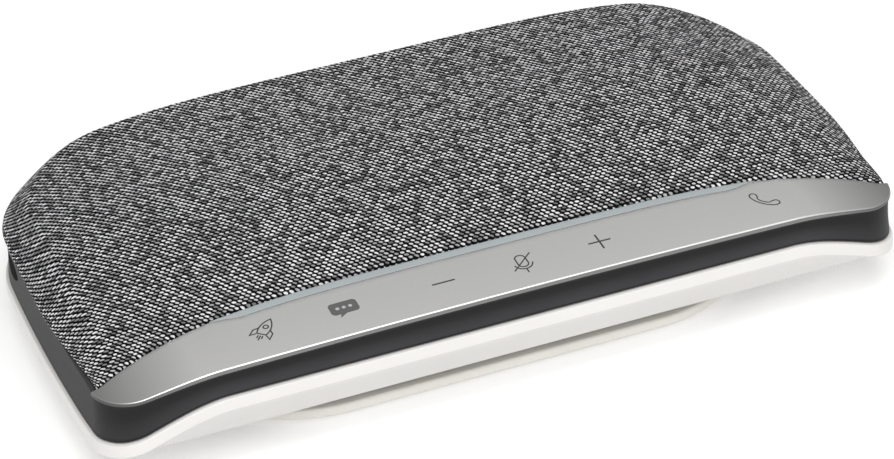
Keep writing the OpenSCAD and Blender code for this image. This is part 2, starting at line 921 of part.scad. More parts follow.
// Round-ended bar along Y, swept along X
module key_slot(y, grow, x0, depth) {
    r = key_h / 2 + grow;
    reach = key_w / 2 - key_h / 2;
    translate([x0, y, side_z])
        rotate([90, 0, 90])
        linear_extrude(depth) {
            square([2 * reach, 2 * r], center = true);
            for (s = [-reach, reach])
                translate([s, 0]) circle(r);
        }
}

// Key cap that stands just proud of the wall, with a retaining flange and a stem
module side_key(y) {
    wall_face = bowed(half_w - wall_in, y)[0];
    cap_in = wall_face - wall_t - key_travel - 0.9;
    stem_x = side_x + 2.35 + key_travel;
    color([0.3, 0.3, 0.31]) {
        key_slot(y, 0, cap_in, wall_face - cap_in + 0.55);
        key_slot(y, 0.7, cap_in, 0.8);
        disc_x(stem_x, y, side_z, 0.9, cap_in + 0.3 - stem_x);
    }
}

module power_key() {
    side_key(power_y);
}

module pairing_key() {
    side_key(pairing_y);
}

module side_board() {
    color("darkgreen")
    block(side_x + 0.5, 4, 10.5, 1, 58, 8.7);
}

module key_switches() {
    color("silver")
    for (y = key_spots)
        block(side_x + 1.68, y, side_z - 1.6, 1.3, 4.4, 3.2);
}

module charge_port() {
    port_face = bowed(half_w - wall_in, port_y)[0] - 0.5;
    color("silver")
    difference() {
        block(port_face - port_len / 2, port_y, side_z - port_h / 2, port_len, port_w, port_h);
        block(port_face, port_y, side_z - port_h / 2 + 0.35, 2 * port_len - 0.8, port_w - 0.7, port_h - 0.7);
    }
}

module port_tongue() {
    port_face = bowed(half_w - wall_in, port_y)[0] - 0.5;
    color("white")
    block(port_face - port_len + 3.05, port_y, side_z + 0.2, 5.2, 10.6, 1.7);
}

module battery_light_pipe() {
    pipe_face = bowed(half_w - wall_in, pipe_y)[0];
    color([0.85, 0.9, 0.92])
    disc_x(side_x + 1.1, pipe_y, side_z, pipe_r, pipe_face - side_x - 1.2);
}

foot_pad();
foot();
foot_screws();
usb_cable();
cable_grommet();
plug_grip();
plug_shell();
base_shell();
base_plate();
housing_seal();
mid_housing();
strap_pocket();
strap_pin();
battery_pack();
battery_foam();
main_board();
processor_can();
board_chips();
board_connectors();
speaker_box();
box_screws();
baffle();
speaker_basket();
speaker_magnet();
speaker_cone();
voice_coil();
radiator_frames();
radiator_left();
radiator_right();
microphones();
mic_boots();
grille_mesh();
dome_frame();
fabric_cover();
control_bar();
light_strip();
led_board();
touch_board();
touch_ribbon();
side_board();
key_switches();
power_key();
pairing_key();
charge_port();
port_tongue();
battery_light_pipe();
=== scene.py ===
"""Looks of a conference speakerphone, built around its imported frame.

Shapes are worked out in millimetres and turned into metres when a mesh is made.
+X is right, -Y is the front with the touch bar, +Z is up, and the origin is on the table.
"""

import json
import math

import bmesh
import bpy
import numpy as np
from mathutils import Matrix, Vector


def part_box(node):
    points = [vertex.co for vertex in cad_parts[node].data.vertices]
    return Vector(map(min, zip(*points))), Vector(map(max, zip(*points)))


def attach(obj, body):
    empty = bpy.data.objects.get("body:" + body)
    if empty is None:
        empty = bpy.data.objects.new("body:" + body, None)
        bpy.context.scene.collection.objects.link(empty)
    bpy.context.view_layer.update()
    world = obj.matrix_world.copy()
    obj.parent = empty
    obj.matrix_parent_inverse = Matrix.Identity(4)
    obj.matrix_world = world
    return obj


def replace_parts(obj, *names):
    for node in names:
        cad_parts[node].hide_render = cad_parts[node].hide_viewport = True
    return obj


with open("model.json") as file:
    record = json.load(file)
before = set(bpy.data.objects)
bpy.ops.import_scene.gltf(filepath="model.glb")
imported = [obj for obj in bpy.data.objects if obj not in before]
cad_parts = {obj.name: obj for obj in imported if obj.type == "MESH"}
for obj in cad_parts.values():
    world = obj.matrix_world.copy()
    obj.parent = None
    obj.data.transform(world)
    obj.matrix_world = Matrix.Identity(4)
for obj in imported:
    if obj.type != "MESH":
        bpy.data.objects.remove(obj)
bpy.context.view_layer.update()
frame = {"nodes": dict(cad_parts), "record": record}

# ---------- sizes in millimetres, from the frame ----------

MM = 0.001


def span(node):
    """Lowest and highest corner of a CAD node in millimetres."""
    low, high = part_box(node)
    return np.array(low) / MM, np.array(high) / MM


shell_low, shell_high = span("base_shell")
fabric_high = span("fabric_cover")[1]
strip_high = span("light_strip")[1]
foot_low, foot_high = span("foot")
wall_high = span("mid_housing")[1]

HALF_W, HALF_D = shell_high[0], shell_high[1]
BASE_Z, SEAM_TOP = shell_low[2], shell_high[2]
FABRIC_X, FABRIC_Y = fabric_high[0], fabric_high[1]
TOP_Z = fabric_high[2]
BAR_TOP_Y = -strip_high[1]

# Shape of the plan and of the seams, as the CAD source has them
GAP = 0.1
FRONT_R = 10
BACK_R = 27.5
SIDE_BOW = 2
RIM_Z = 11
RISE_START = 62
RISE_END = 90
SEAM_END = 94.5
BASE_TUCK = 4.3
SKIRT_BAND = 2.9
WALL_IN = 1.4
WALL_T = 1.8
WALL_DIP = 0.9
WALL_RISE = 2.7
WALL_ARCH = 0.6
SEAL_T = 0.4
LIP_IN = 0.95
LIP_FRONT = HALF_D - LIP_IN
FABRIC_IN = HALF_W - FABRIC_X
FABRIC_Z = wall_high[2] + GAP + WALL_DIP - WALL_RISE - WALL_ARCH
FRONT_IN = 1.5
TIP_LIFT = 0.5
SHOULDER_W = 6.6
SHOULDER_POWER = 1.3
END_DROP = 8.8
END_POWER = 5
FRONT_DROP = 16.9
FRONT_EASE = 0.7
CORNER_DROP = 5.2
CROWN_Y = 13.7
BAR_SWEEP = 10.2
LIP_T = 1.2
TIP_T = 0.9
LIGHT_W = 2.4
LIGHT_HALF = 62
TIP_ANGLE = 84
TIP_X = 89.5
FACE_CROWN = 0.35

# Pitch of the weave: half the spacing of the raised threads along X and along Y
WEAVE_X = 0.645
WEAVE_Y = 0.74
THREAD_LEAN = 0.26


# ---------- shape functions, in millimetres ----------


def smooth(t):
    c = np.clip(t, 0, 1)
    return c * c * (3 - 2 * c)


def rise(x):
    """1 along the flat middle of the front edge, 0 at its corners."""
    return smooth((RISE_END - np.abs(x)) / (RISE_END - RISE_START))


def frontness(y):
    return np.clip((-y - 30) / 12, 0, 1)


def bowed(x, y):
    """Plan position with the left and right sides bowed outwards in the middle."""
    pull = SIDE_BOW * (y / HALF_D) ** 2 * (np.abs(x) / HALF_W) ** 3
    return x - np.sign(x) * pull, y


def seam_z(x, y):
    """Height of the seam between the white base and the dark wall."""
    lift = smooth((SEAM_END - np.abs(x)) / (SEAM_END - RISE_START))
    return RIM_Z + (SEAM_TOP - RIM_Z) * lift * frontness(y)


def wall_top(x, y):
    """Height of the dark wall's upper edge."""
    arch = WALL_ARCH * np.maximum(1 - (x / RISE_START) ** 2, 0)
    dip = WALL_DIP * smooth((-y - 35) / 4)
    return FABRIC_Z - GAP - dip + (WALL_RISE * rise(x) + arch) * frontness(y)


def crown_z(x, y):
    """Height of the dome before its shoulder drops away."""
    end = (np.abs(x) / FABRIC_X) ** 4
    ends = END_DROP * (np.abs(x) / FABRIC_X) ** END_POWER
    front = FRONT_DROP * (1 - FRONT_EASE * end) * (np.maximum(CROWN_Y - y, 0) / (CROWN_Y + FABRIC_Y)) ** 2
    corner = CORNER_DROP * end * (np.maximum(y, 0) / FABRIC_Y) ** 2
    return np.maximum(TOP_Z - ends - front - corner, FABRIC_Z + TIP_LIFT)


def shoulder(d):
    """Share of the dome's height reached at a distance in from its edge."""
    s = np.clip(1 - d / SHOULDER_W, 0, 1)
    return (1 - s**SHOULDER_POWER) ** (1 / SHOULDER_POWER)


def bar_edge_y(x):
    return -BAR_TOP_Y - BAR_SWEEP * (np.abs(x) / FABRIC_X) ** 4


def drawn_in(x, y):
    """Bowed plan position on the fabric, whose sides draw in further towards the front."""
    pull = FRONT_IN * smooth((-y - 8) / 30) * (np.abs(x) / FABRIC_X) ** 6
    px, py = bowed(x, y)
    return px - np.sign(x) * pull, py


def bar_t(x):
    """Thickness of the touch bar."""
    return TIP_T + (LIP_T - TIP_T) * rise(x)


def lip_point(x):
    """Point on the touch bar's front lip."""
    radius = FRONT_R - LIP_IN
    straight = HALF_W - LIP_IN - radius
    turn = np.maximum(np.abs(x) - straight, 0) / (TIP_X - straight) * math.radians(TIP_ANGLE)
    px = np.where(turn > 0, np.sign(x) * (straight + radius * np.sin(turn)), x)
    py = -LIP_FRONT + radius * (1 - np.cos(turn))
    px, py = bowed(px, py)
    return np.stack([px, py, wall_top(px, py) + GAP + bar_t(x)], -1)


def face_top(x):
    """Point on the touch bar's upper edge, where it meets the fabric."""
    px, py = drawn_in(x, bar_edge_y(x))
    z = FABRIC_Z + (crown_z(px, py) - FABRIC_Z) * shoulder(FABRIC_X - np.abs(x))
    return np.stack([px, py, z], -1)


def face_point(x, v):
    """Point on the touch bar's face: v is 0 at the fabric and 1 at the lip."""
    x, v = np.broadcast_arrays(np.asarray(x, float), np.asarray(v, float))
    a, b = face_top(x), lip_point(x)
    point = a + (b - a) * v[..., None]
    point[..., 2] += 4 * FACE_CROWN * v * (1 - v) * rise(x)
    return point


def light_share(x):
    """Share of the face's depth that the light strip takes."""
    return LIGHT_W / (LIP_FRONT - BAR_TOP_Y) * smooth((LIGHT_HALF - np.abs(x)) / 8) + 0.006


def arc_points(cx, cy, radius, start, turn, steps):
    angles = np.radians(start + turn * np.linspace(0, 1, steps + 1))
    return np.stack([cx + radius * np.cos(angles), cy + radius * np.sin(angles)], -1)


def line_points(a, b, steps):
    """Points strictly between two corners."""
    t = np.arange(1, steps)[:, None] / steps
    return np.array(a) + (np.array(b) - np.array(a)) * t


CORNER_STEPS = 24
FRONT_STEPS = 170
BACK_STEPS = 60
SIDE_STEPS = 36


def round_plan(hx, hy, rf, rb):
    """Round-cornered plan, counterclockwise from the front left."""
    return np.concatenate([
        line_points((-hx + rf, -hy), (hx - rf, -hy), FRONT_STEPS),
        arc_points(hx - rf, -hy + rf, rf, -90, 90, CORNER_STEPS),
        line_points((hx, -hy + rf), (hx, hy - rb), SIDE_STEPS),
        arc_points(hx - rb, hy - rb, rb, 0, 90, CORNER_STEPS),
        line_points((hx - rb, hy), (-hx + rb, hy), BACK_STEPS),
        arc_points(-hx + rb, hy - rb, rb, 90, 90, CORNER_STEPS),
        line_points((-hx, hy - rb), (-hx, -hy + rf), SIDE_STEPS),
        arc_points(-hx + rf, -hy + rf, rf, 180, 90, CORNER_STEPS),
    ])


def outline(inset):
    """Plan of the body moved inwards, as separate x and y."""
    plan = round_plan(HALF_W - inset, HALF_D - inset, max(FRONT_R - inset, 0.5), BACK_R - inset)
    return bowed(plan[:, 0], plan[:, 1])


# ---------- mesh helpers ----------


def make_object(name, points, faces, paint, crease=None):
    """Object from points in millimetres. crease is the angle above which edges stay sharp."""
    mesh = bpy.data.meshes.new(name)
    mesh.from_pydata((np.asarray(points, float) * MM).tolist(), [], np.asarray(faces).tolist())
    mesh.update()
    return adopt(name, mesh, paint, crease)


def adopt(name, mesh, paint, crease=None):
    """Puts a mesh in the scene with its material and shading, riding on the casing."""
    obj = bpy.data.objects.new(name, mesh)
    bpy.context.scene.collection.objects.link(obj)
    mesh.materials.clear()
    mesh.materials.append(PAINTS[paint])
    shade(mesh, crease)
    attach(obj, "casing")
    return obj


def shade(mesh, crease):
    mesh.polygons.foreach_set("use_smooth", [True] * len(mesh.polygons))
    if crease:
        mesh.set_sharp_from_angle(angle=math.radians(crease))


def outward(obj):
    """Turns all faces of a closed mesh outwards."""
    work = bmesh.new()
    work.from_mesh(obj.data)
    bmesh.ops.recalc_face_normals(work, faces=work.faces)
    work.to_mesh(obj.data)
    work.free()


def grid_faces(rows, columns, wrap_rows=False, wrap_columns=False):
    """Quads over a grid of points stored row by row."""
    r = np.arange(rows if wrap_rows else rows - 1)
    c = np.arange(columns if wrap_columns else columns - 1)
    r, c = np.meshgrid(r, c, indexing="ij")
    up, right = (r + 1) % rows, (c + 1) % columns
    quads = [r * columns + c, r * columns + right, up * columns + right, up * columns + c]
    return np.stack([q.ravel() for q in quads], -1)


def tyre(name, rings, paint, crease):
    """Closed skin through a list of rings that ends where it starts."""
    rings = np.array(rings)
    faces = grid_faces(rings.shape[0], rings.shape[1], wrap_rows=True, wrap_columns=True)
    obj = make_object(name, rings.reshape(-1, 3), faces, paint, crease)
    outward(obj)
    shade(obj.data, crease)
    return obj


def beam(name, sections, paint, crease):
    """Closed skin through a row of cross-sections, capped at both ends."""
    sections = np.array(sections)
    rows, columns = sections.shape[:2]
    faces = grid_faces(rows, columns, wrap_columns=True).tolist()
    faces.append(list(range(columns))[::-1])
    faces.append([(rows - 1) * columns + i for i in range(columns)])
    mesh = bpy.data.meshes.new(name)
    mesh.from_pydata((sections.reshape(-1, 3) * MM).tolist(), [], faces)
    obj = adopt(name, mesh, paint, crease)
    outward(obj)
    shade(obj.data, crease)
    return obj


def ring_at(inset, height):
    """Ring at an inset; height is a number or a function of plan x and y."""
    x, y = outline(inset)
    z = height(x, y) if callable(height) else np.full_like(x, height)
    return np.stack([x, y, z], -1)


def prism(plan, axis, start, end):
    """Mesh object of a plan swept along X or Z, used only to cut with."""
    plan = np.asarray(plan, float)
    ends = []
    for level in (start, end):
        flat = np.full(len(plan), float(level))
        parts = (flat, plan[:, 0], plan[:, 1]) if axis == "X" else (plan[:, 0], plan[:, 1], flat)
        ends.append(np.stack(parts, -1))
    n = len(plan)
    faces = [[i, (i + 1) % n, n + (i + 1) % n, n + i] for i in range(n)]
    faces += [list(range(n))[::-1], list(range(n, 2 * n))]
    mesh = bpy.data.meshes.new("cutter")
    mesh.from_pydata((np.concatenate(ends) * MM).tolist(), [], faces)
    obj = bpy.data.objects.new("cutter", mesh)
    bpy.context.scene.collection.objects.link(obj)
    outward(obj)
    return obj


def stadium(cy, cz, width, height, steps=16):
    """Round-ended slot in the Y-Z plane."""
    r = height / 2
    reach = width / 2 - r
    return np.concatenate([
        arc_points(cy + reach, cz, r, -90, 180, steps),
        arc_points(cy - reach, cz, r, 90, 180, steps),
    ])


def carve(obj, cutters, crease):
    """Cuts the cutters out of an object and removes them."""
    for cutter in cutters:
        cut = obj.modifiers.new("cut", "BOOLEAN")
        cut.operation = "DIFFERENCE"
        cut.solver = "EXACT"
        cut.object = cutter
    graph = bpy.context.evaluated_depsgraph_get()
    mesh = bpy.data.meshes.new_from_object(obj.evaluated_get(graph))
    obj.modifiers.clear()
    obj.data = mesh
    for cutter in cutters:
        bpy.data.objects.remove(cutter)
    shade(mesh, crease)


# ---------- material helpers ----------


class Recipe:
    """Builds one node material."""

    def __init__(self, name):
        self.material = bpy.data.materials.new(name)
        self.material.use_nodes = True
        self.tree = self.material.node_tree
        self.tree.nodes.clear()
        self.output = self.tree.nodes.new("ShaderNodeOutputMaterial")
        self.surface = self.tree.nodes.new("ShaderNodeBsdfPrincipled")
        self.tree.links.new(self.surface.outputs[0], self.output.inputs["Surface"])

    def node(self, kind, inputs=None, **settings):
        made = self.tree.nodes.new(kind)
        for key, value in settings.items():
            setattr(made, key, value)
        for key, value in (inputs or {}).items():
            self.feed(made.inputs[key], value)
        return made

    def feed(self, socket, value):
        if isinstance(value, bpy.types.NodeSocket):
            self.tree.links.new(value, socket)
        else:
            socket.default_value = value

    def math(self, operation, a, b=0.0, c=0.0):
        return self.node("ShaderNodeMath", {0: a, 1: b, 2: c}, operation=operation).outputs[0]

    def ramp(self, factor, stops):
        """Colour ramp; stops are (position, grey or colour)."""
        made = self.node("ShaderNodeValToRGB", {"Fac": factor})
        while len(made.color_ramp.elements) < len(stops):
            made.color_ramp.elements.new(1.0)
        for element, (position, colour) in zip(made.color_ramp.elements, stops):
            element.position = position
            element.color = rgba(colour)
        return made.outputs[0]

    def mix(self, factor, a, b, blend="MIX"):
        made = self.node("ShaderNodeMix", data_type="RGBA", blend_type=blend)
        self.feed(made.inputs["Factor"], factor)
        self.feed(made.inputs[6], a if isinstance(a, bpy.types.NodeSocket) else rgba(a))
        self.feed(made.inputs[7], b if isinstance(b, bpy.types.NodeSocket) else rgba(b))
        return made.outputs[2]

    def place(self):
        return self.node("ShaderNodeTexCoord").outputs["Object"]

    def noise(self, scale, detail=3.0, vector=None):
        inputs = {"Scale": scale, "Detail": detail}
        inputs["Vector"] = vector if vector is not None else self.place()
        return self.node("ShaderNodeTexNoise", inputs).outputs["Fac"]

    def stretched(self, x, y, z):
        """Object coordinates scaled by axis."""
        return self.node("ShaderNodeMapping", {"Vector": self.place(), "Scale": (x, y, z)}).outputs[0]

    def bump(self, height, distance, strength):
        inputs = {"Height": height, "Distance": distance, "Strength": strength}
        return self.node("ShaderNodeBump", inputs).outputs[0]

    def wear(self, amount):
        """Bright near exposed edges, from the shape's pointiness."""
        point = self.node("ShaderNodeNewGeometry").outputs["Pointiness"]
        return self.math("MULTIPLY", self.ramp(point, [(0.5, 0.0), (0.56, 1.0)]), amount)

    def set(self, **values):
        for key, value in values.items():
            self.feed(self.surface.inputs[key.replace("_", " ")], value)


def rgba(colour):
    if isinstance(colour, (int, float)):
        return (colour, colour, colour, 1.0)
    return (*colour, 1.0)


# ---------- materials ----------


def woven_thread(r, wx, wy, offset):
    """One of two offset grids of raised threads: distance from the nearest, and its random tone."""
    p = r.math("SUBTRACT", wx, float(offset))
    q = r.math("SUBTRACT", wy, float(offset))
    pi = r.math("ROUND", r.math("MULTIPLY", p, 0.5))
    qi = r.math("ROUND", r.math("MULTIPLY", q, 0.5))
    seed = r.node("ShaderNodeCombineXYZ", {"X": pi, "Y": qi, "Z": float(offset)}).outputs[0]
    random = r.node("ShaderNodeTexWhiteNoise", {"Vector": seed}, noise_dimensions="3D")
    shift = r.node("ShaderNodeSeparateColor", {0: random.outputs["Color"]})
    a = r.math("MULTIPLY_ADD", pi, -2.0, p)
    b = r.math("MULTIPLY_ADD", qi, -2.0, q)
    b = r.math("ADD", b, r.math("MULTIPLY_ADD", shift.outputs[0], 0.2, -0.1))
    lean = r.math("MULTIPLY_ADD", shift.outputs[1], 0.3, THREAD_LEAN - 0.15)
    b = r.math("MULTIPLY_ADD", a, lean, b)
    length = r.math("MULTIPLY_ADD", shift.outputs[2], 0.16, 0.66)
    da = r.math("DIVIDE", a, length)
    db = r.math("DIVIDE", b, 0.37)
    long_way = r.math("POWER", r.math("ABSOLUTE", da), 2.4)
    far = r.math("SQRT", r.math("ADD", long_way, r.math("MULTIPLY", db, db)))
    return far, random.outputs["Value"]


def melange_fabric():
    """Plain weave of light and dark melange yarn with near-black gaps."""
    r = Recipe("melange_fabric")
    spot = r.node("ShaderNodeAttribute", attribute_name="weave").outputs["Vector"]
    wobble = r.node("ShaderNodeTexNoise", {"Vector": spot, "Scale": 0.55, "Detail": 2.0})
    centre = (0.5, 0.5, 0.5)
    centred = r.node(
        "ShaderNodeVectorMath", {0: wobble.outputs["Color"], 1: centre}, operation="SUBTRACT"
    )
    shift = r.node("ShaderNodeVectorMath", {0: centred.outputs[0], "Scale": 0.3}, operation="SCALE")
    spot = r.node("ShaderNodeVectorMath", {0: spot, 1: shift.outputs[0]}, operation="ADD").outputs[0]
    parts = r.node("ShaderNodeSeparateXYZ", {0: spot})
    wx = r.math("DIVIDE", parts.outputs[0], WEAVE_X)
    wy = r.math("DIVIDE", parts.outputs[1], WEAVE_Y)
    far0, tone0 = woven_thread(r, wx, wy, 0)
    far1, tone1 = woven_thread(r, wx, wy, 1)
    nearer = r.math("LESS_THAN", far1, far0)
    far = r.math("MINIMUM", far0, far1)
    tone = r.mix(nearer, tone0, tone1)
    rows = r.node("ShaderNodeMapping", {"Vector": spot, "Scale": (1, 4, 1)}).outputs[0]
    drift = r.noise(0.07, 2.0, rows)
    tone = r.math("ADD", tone, r.math("MULTIPLY_ADD", drift, 0.24, -0.12))
    yarn = r.ramp(tone, [(0.0, 0.2), (0.25, 0.44), (0.5, 0.68), (0.75, 0.95), (1.0, 1.0)])
    twist = r.node("ShaderNodeMapping", {"Vector": spot, "Scale": (2.2, 9, 1)}).outputs[0]
    fibre = r.noise(1.0, 4.0, twist)
    yarn = r.mix(1.0, yarn, r.ramp(fibre, [(0.3, 0.6), (0.7, 1.15)]), "MULTIPLY")
    cross = r.ramp(r.noise(1.2, 1.0, spot), [(0.35, 0.0), (0.65, 0.008)])
    cover = r.ramp(far, [(0.8, 1.0), (1.0, 0.0)])
    colour = r.mix(cover, cross, yarn)
    tint = r.mix(1.0, colour, (0.99, 0.985, 1.0), "MULTIPLY")
    height = r.ramp(far, [(0.0, 1.0), (0.5, 0.86), (0.8, 0.55), (1.1, 0.12), (1.4, 0.3)])
    height = r.math("ADD", height, r.math("MULTIPLY", fibre, 0.18))
    r.set(Base_Color=tint, Roughness=0.88, Normal=r.bump(height, 0.16 * MM, 0.9))
    r.set(Specular_IOR_Level=0.1)
    return r.material


def satin_silver():
    """Silver paint with a very fine metallic flake, painted shade on the lip's side faces, a faint painted
    highlight where the lip rolls over, and painted shade towards the bar's ends.
    """
    r = Recipe("satin_silver")
    flake = r.noise(9000, 2.0)
    cloud = r.noise(60, 2.0)
    colour = r.mix(cloud, (0.98, 0.975, 0.965), (1.0, 0.995, 0.985))
    colour = r.mix(1.0, colour, r.ramp(flake, [(0.3, 0.95), (0.7, 1.03)]), "MULTIPLY")
    # Painted shade on faces that turn sideways or down, such as the lip's side, and a faint painted
    # highlight where the lip rolls over.
    normal = r.node("ShaderNodeNewGeometry").outputs["Normal"]
    upward = r.node("ShaderNodeSeparateXYZ", {0: normal}).outputs[2]
    painted_lip_shade_and_highlight = r.ramp(upward, [(0.35, 0.24), (0.5, 1.0), (0.8, 1.0), (0.96, 0.9)])
    colour = r.mix(1.0, colour, painted_lip_shade_and_highlight, "MULTIPLY")
    # Painted shade: the paint is darker towards the bar's ends.
    along = r.math("ABSOLUTE", r.node("ShaderNodeSeparateXYZ", {0: r.place()}).outputs[0])
    painted_tip_shade = r.node(
        "ShaderNodeMapRange",
        {"Value": along, "From Min": 0.068, "From Max": 0.088, "To Min": 1.0, "To Max": 0.42},
    )
    colour = r.mix(1.0, colour, painted_tip_shade.outputs[0], "MULTIPLY")
    rough = r.math("MULTIPLY_ADD", flake, 0.08, 0.34)
    r.set(Base_Color=colour, Metallic=0.85, Roughness=rough, Normal=r.bump(flake, 0.004 * MM, 0.4))
    return r.material


def light_diffuser():
    """Milky blue-grey translucent plastic."""
    r = Recipe("light_diffuser")
    cloud = r.noise(220, 3.0)
    colour = r.mix(cloud, (0.4, 0.445, 0.455), (0.46, 0.5, 0.51))
    r.set(Base_Color=colour, Roughness=0.34, Subsurface_Weight=0.25, Subsurface_Scale=1.2 * MM)
    r.set(Coat_Weight=0.2, Coat_Roughness=0.2, Normal=r.bump(r.noise(3500), 0.004 * MM, 0.3))
    return r.material


def moulded(name, dark, light, rough, grain=2600, depth=0.012, specular=0.5, wear=0.0, sub=0.0, painted_shade_by_facing=None):
    """Moulded plastic: a faint cloud in the colour, a fine grain and lighter worn edges.

    The last argument is a ramp of brightness over the normal's upward component, from -1 to 1; it paints
    shade on the faces that turn away from the light.
    """
    r = Recipe(name)
    cloud = r.noise(45, 3.0)
    fine = r.noise(grain, 3.0)
    colour = r.mix(r.ramp(cloud, [(0.35, 0.0), (0.65, 1.0)]), dark, light)
    if wear:
        colour = r.mix(r.wear(wear), colour, tuple(min(1.0, c * 1.6 + 0.03) for c in light))
    if painted_shade_by_facing:
        # Painted shade from the facing ramp.
        normal = r.node("ShaderNodeNewGeometry").outputs["Normal"]
        upward = r.node("ShaderNodeSeparateXYZ", {0: normal}).outputs[2]
        stops = [((position + 1) / 2, brightness) for position, brightness in painted_shade_by_facing]
        colour = r.mix(1.0, colour, r.ramp(r.math("MULTIPLY_ADD", upward, 0.5, 0.5), stops), "MULTIPLY")
    r.set(Base_Color=colour, Roughness=r.math("MULTIPLY_ADD", fine, 0.12, rough - 0.06))
    r.set(Normal=r.bump(fine, depth * MM, 0.5), Specular_IOR_Level=specular)
    if sub:
        r.set(Subsurface_Weight=sub, Subsurface_Scale=1.5 * MM)
    return r.material


def metal(name, colour, rough, brush=(400, 400, 30)):
    """Plated metal with fine directional brushing."""
    r = Recipe(name)
    streak = r.noise(1.0, 3.0, r.stretched(*brush))
    speck = r.noise(700, 3.0)
    dark = tuple(c * 0.86 for c in colour)
    tone = r.mix(streak, dark, colour)
    tone = r.mix(r.wear(0.2), tone, tuple(min(1.0, c * 1.2) for c in colour))
    r.set(Base_Color=tone, Metallic=1.0, Roughness=r.math("MULTIPLY_ADD", speck, 0.18, rough - 0.09))
    r.set(Normal=r.bump(streak, 0.01 * MM, 0.3))
    return r.material


def rubber(name, colour):
    """Matte rubber with a dusty surface."""
    r = Recipe(name)
    fine = r.noise(1500, 4.0)
    dust = r.ramp(r.noise(120, 4.0), [(0.5, 0.0), (0.8, 0.35)])
    tone = r.mix(dust, colour, tuple(c * 1.25 + 0.015 for c in colour))
    r.set(Base_Color=tone, Roughness=0.82, Normal=r.bump(fine, 0.03 * MM, 0.5), Specular_IOR_Level=0.35)
    return r.material


def circuit_board():
    """Solder mask with buried tracks and small plated holes."""
    r = Recipe("board_green")
    tracks = r.node(
        "ShaderNodeTexBrick",
        {
            "Vector": r.place(), "Scale": 320.0, "Mortar Size": 0.035,
            "Color1": rgba(0), "Color2": rgba(0.12), "Mortar": rgba(1),
        },
    )
    colour = r.mix(tracks.outputs["Color"], (0.012, 0.1, 0.04), (0.03, 0.24, 0.1))
    dots = r.node("ShaderNodeTexVoronoi", {"Vector": r.place(), "Scale": 260.0})
    plated = r.ramp(dots.outputs["Distance"], [(0.1, 1.0), (0.14, 0.0)])
    colour = r.mix(plated, colour, (0.75, 0.6, 0.3))
    r.set(Base_Color=colour, Roughness=0.35, Metallic=r.math("MULTIPLY", plated, 0.8))
    r.set(Normal=r.bump(tracks.outputs["Fac"], 0.02 * MM, 0.4))
    return r.material


def steel_mesh():
    """Black powder-coated sheet with a fine hole pattern."""
    r = Recipe("mesh_steel")
    holes = r.node("ShaderNodeTexVoronoi", {"Vector": r.place(), "Scale": 900.0, "Randomness": 0.0})
    hole = r.ramp(holes.outputs["Distance"], [(0.3, 0.0), (0.36, 1.0)])
    r.set(Base_Color=r.mix(hole, 0.003, 0.035), Roughness=0.6, Normal=r.bump(hole, 0.2 * MM, 0.8))
    return r.material


def printed_ink(name, grey):
    """Ink printed on the touch bar, slightly uneven."""
    r = Recipe(name)
    cloud = r.noise(1800, 3.0)
    r.set(Base_Color=r.mix(cloud, grey * 0.85, grey * 1.15), Roughness=0.5)
    r.set(Normal=r.bump(cloud, 0.005 * MM, 0.3))
    return r.material


PAINTS = {
    "melange_fabric": melange_fabric(),
    "satin_silver": satin_silver(),
    "light_diffuser": light_diffuser(),
    # Painted shade: the white shell is painted darker where it faces down.
    "white_shell": moulded(
        "white_shell", (0.84, 0.825, 0.8), (0.87, 0.855, 0.83), 0.42,
        sub=0.05, painted_shade_by_facing=[(-0.5, 0.84), (-0.1, 1.0)],
    ),
    "cream_foot": moulded("cream_foot", (0.86, 0.84, 0.785), (0.89, 0.87, 0.815), 0.5, sub=0.05),
    # Painted shade: the charcoal wall is painted darker where it faces sideways or down.
    "charcoal_wall": moulded(
        "charcoal_wall", (0.038, 0.038, 0.041), (0.045, 0.045, 0.048), 0.55,
        depth=0.02, specular=0.25, painted_shade_by_facing=[(0.0, 0.2), (0.05, 0.3), (0.22, 1.0)],
    ),
    "black_plastic": moulded(
        "black_plastic", (0.02, 0.02, 0.021), (0.03, 0.03, 0.031), 0.5, depth=0.02, wear=0.2
    ),
    "ivory_plastic": moulded("ivory_plastic", (0.7, 0.67, 0.57), (0.76, 0.73, 0.63), 0.45),
    "chip_black": moulded(
        "chip_black", (0.015, 0.015, 0.016), (0.025, 0.025, 0.026), 0.55, grain=900
    ),
    "foam_black": moulded(
        "foam_black", (0.015, 0.015, 0.015), (0.03, 0.03, 0.03), 0.9, grain=700, depth=0.3
    ),
    "flex_amber": moulded("flex_amber", (0.5, 0.22, 0.04), (0.62, 0.3, 0.06), 0.3, grain=200),
    "paper_cone": moulded(
        "paper_cone", (0.02, 0.02, 0.021), (0.04, 0.04, 0.041), 0.75, grain=600, depth=0.08
    ),
    "sole_rubber": rubber("sole_rubber", (0.6, 0.58, 0.52)),
    "black_rubber": rubber("black_rubber", (0.022, 0.022, 0.023)),
    "zinc_steel": metal("zinc_steel", (0.6, 0.6, 0.61), 0.32),
    "magnet_steel": metal("magnet_steel", (0.38, 0.38, 0.4), 0.4),
    "copper_wire": metal("copper_wire", (0.72, 0.34, 0.15), 0.35, brush=(60, 60, 3000)),
    "cell_foil": metal("cell_foil", (0.62, 0.63, 0.65), 0.28, brush=(30, 300, 30)),
    "board_green": circuit_board(),
    "mesh_steel": steel_mesh(),
    "dark_ink": printed_ink("dark_ink", 0.045),
    "grey_ink": printed_ink("grey_ink", 0.12),
    "pale_ink": printed_ink("pale_ink", 0.5),
}


# ---------- CAD nodes that stay ----------

BEVELS = {
    "plug_grip": 1.4, "plug_shell": 0.3, "cable_grommet": 0.6, "foot_pad": 0.25, "port_tongue": 0.15,
    "strap_pocket": 0.2, "strap_pin": 0.15, "battery_pack": 0.6, "processor_can": 0.25,
    "power_key": 0.3, "pairing_key": 0.3, "charge_port": 0.12, "battery_light_pipe": 0.2,
}


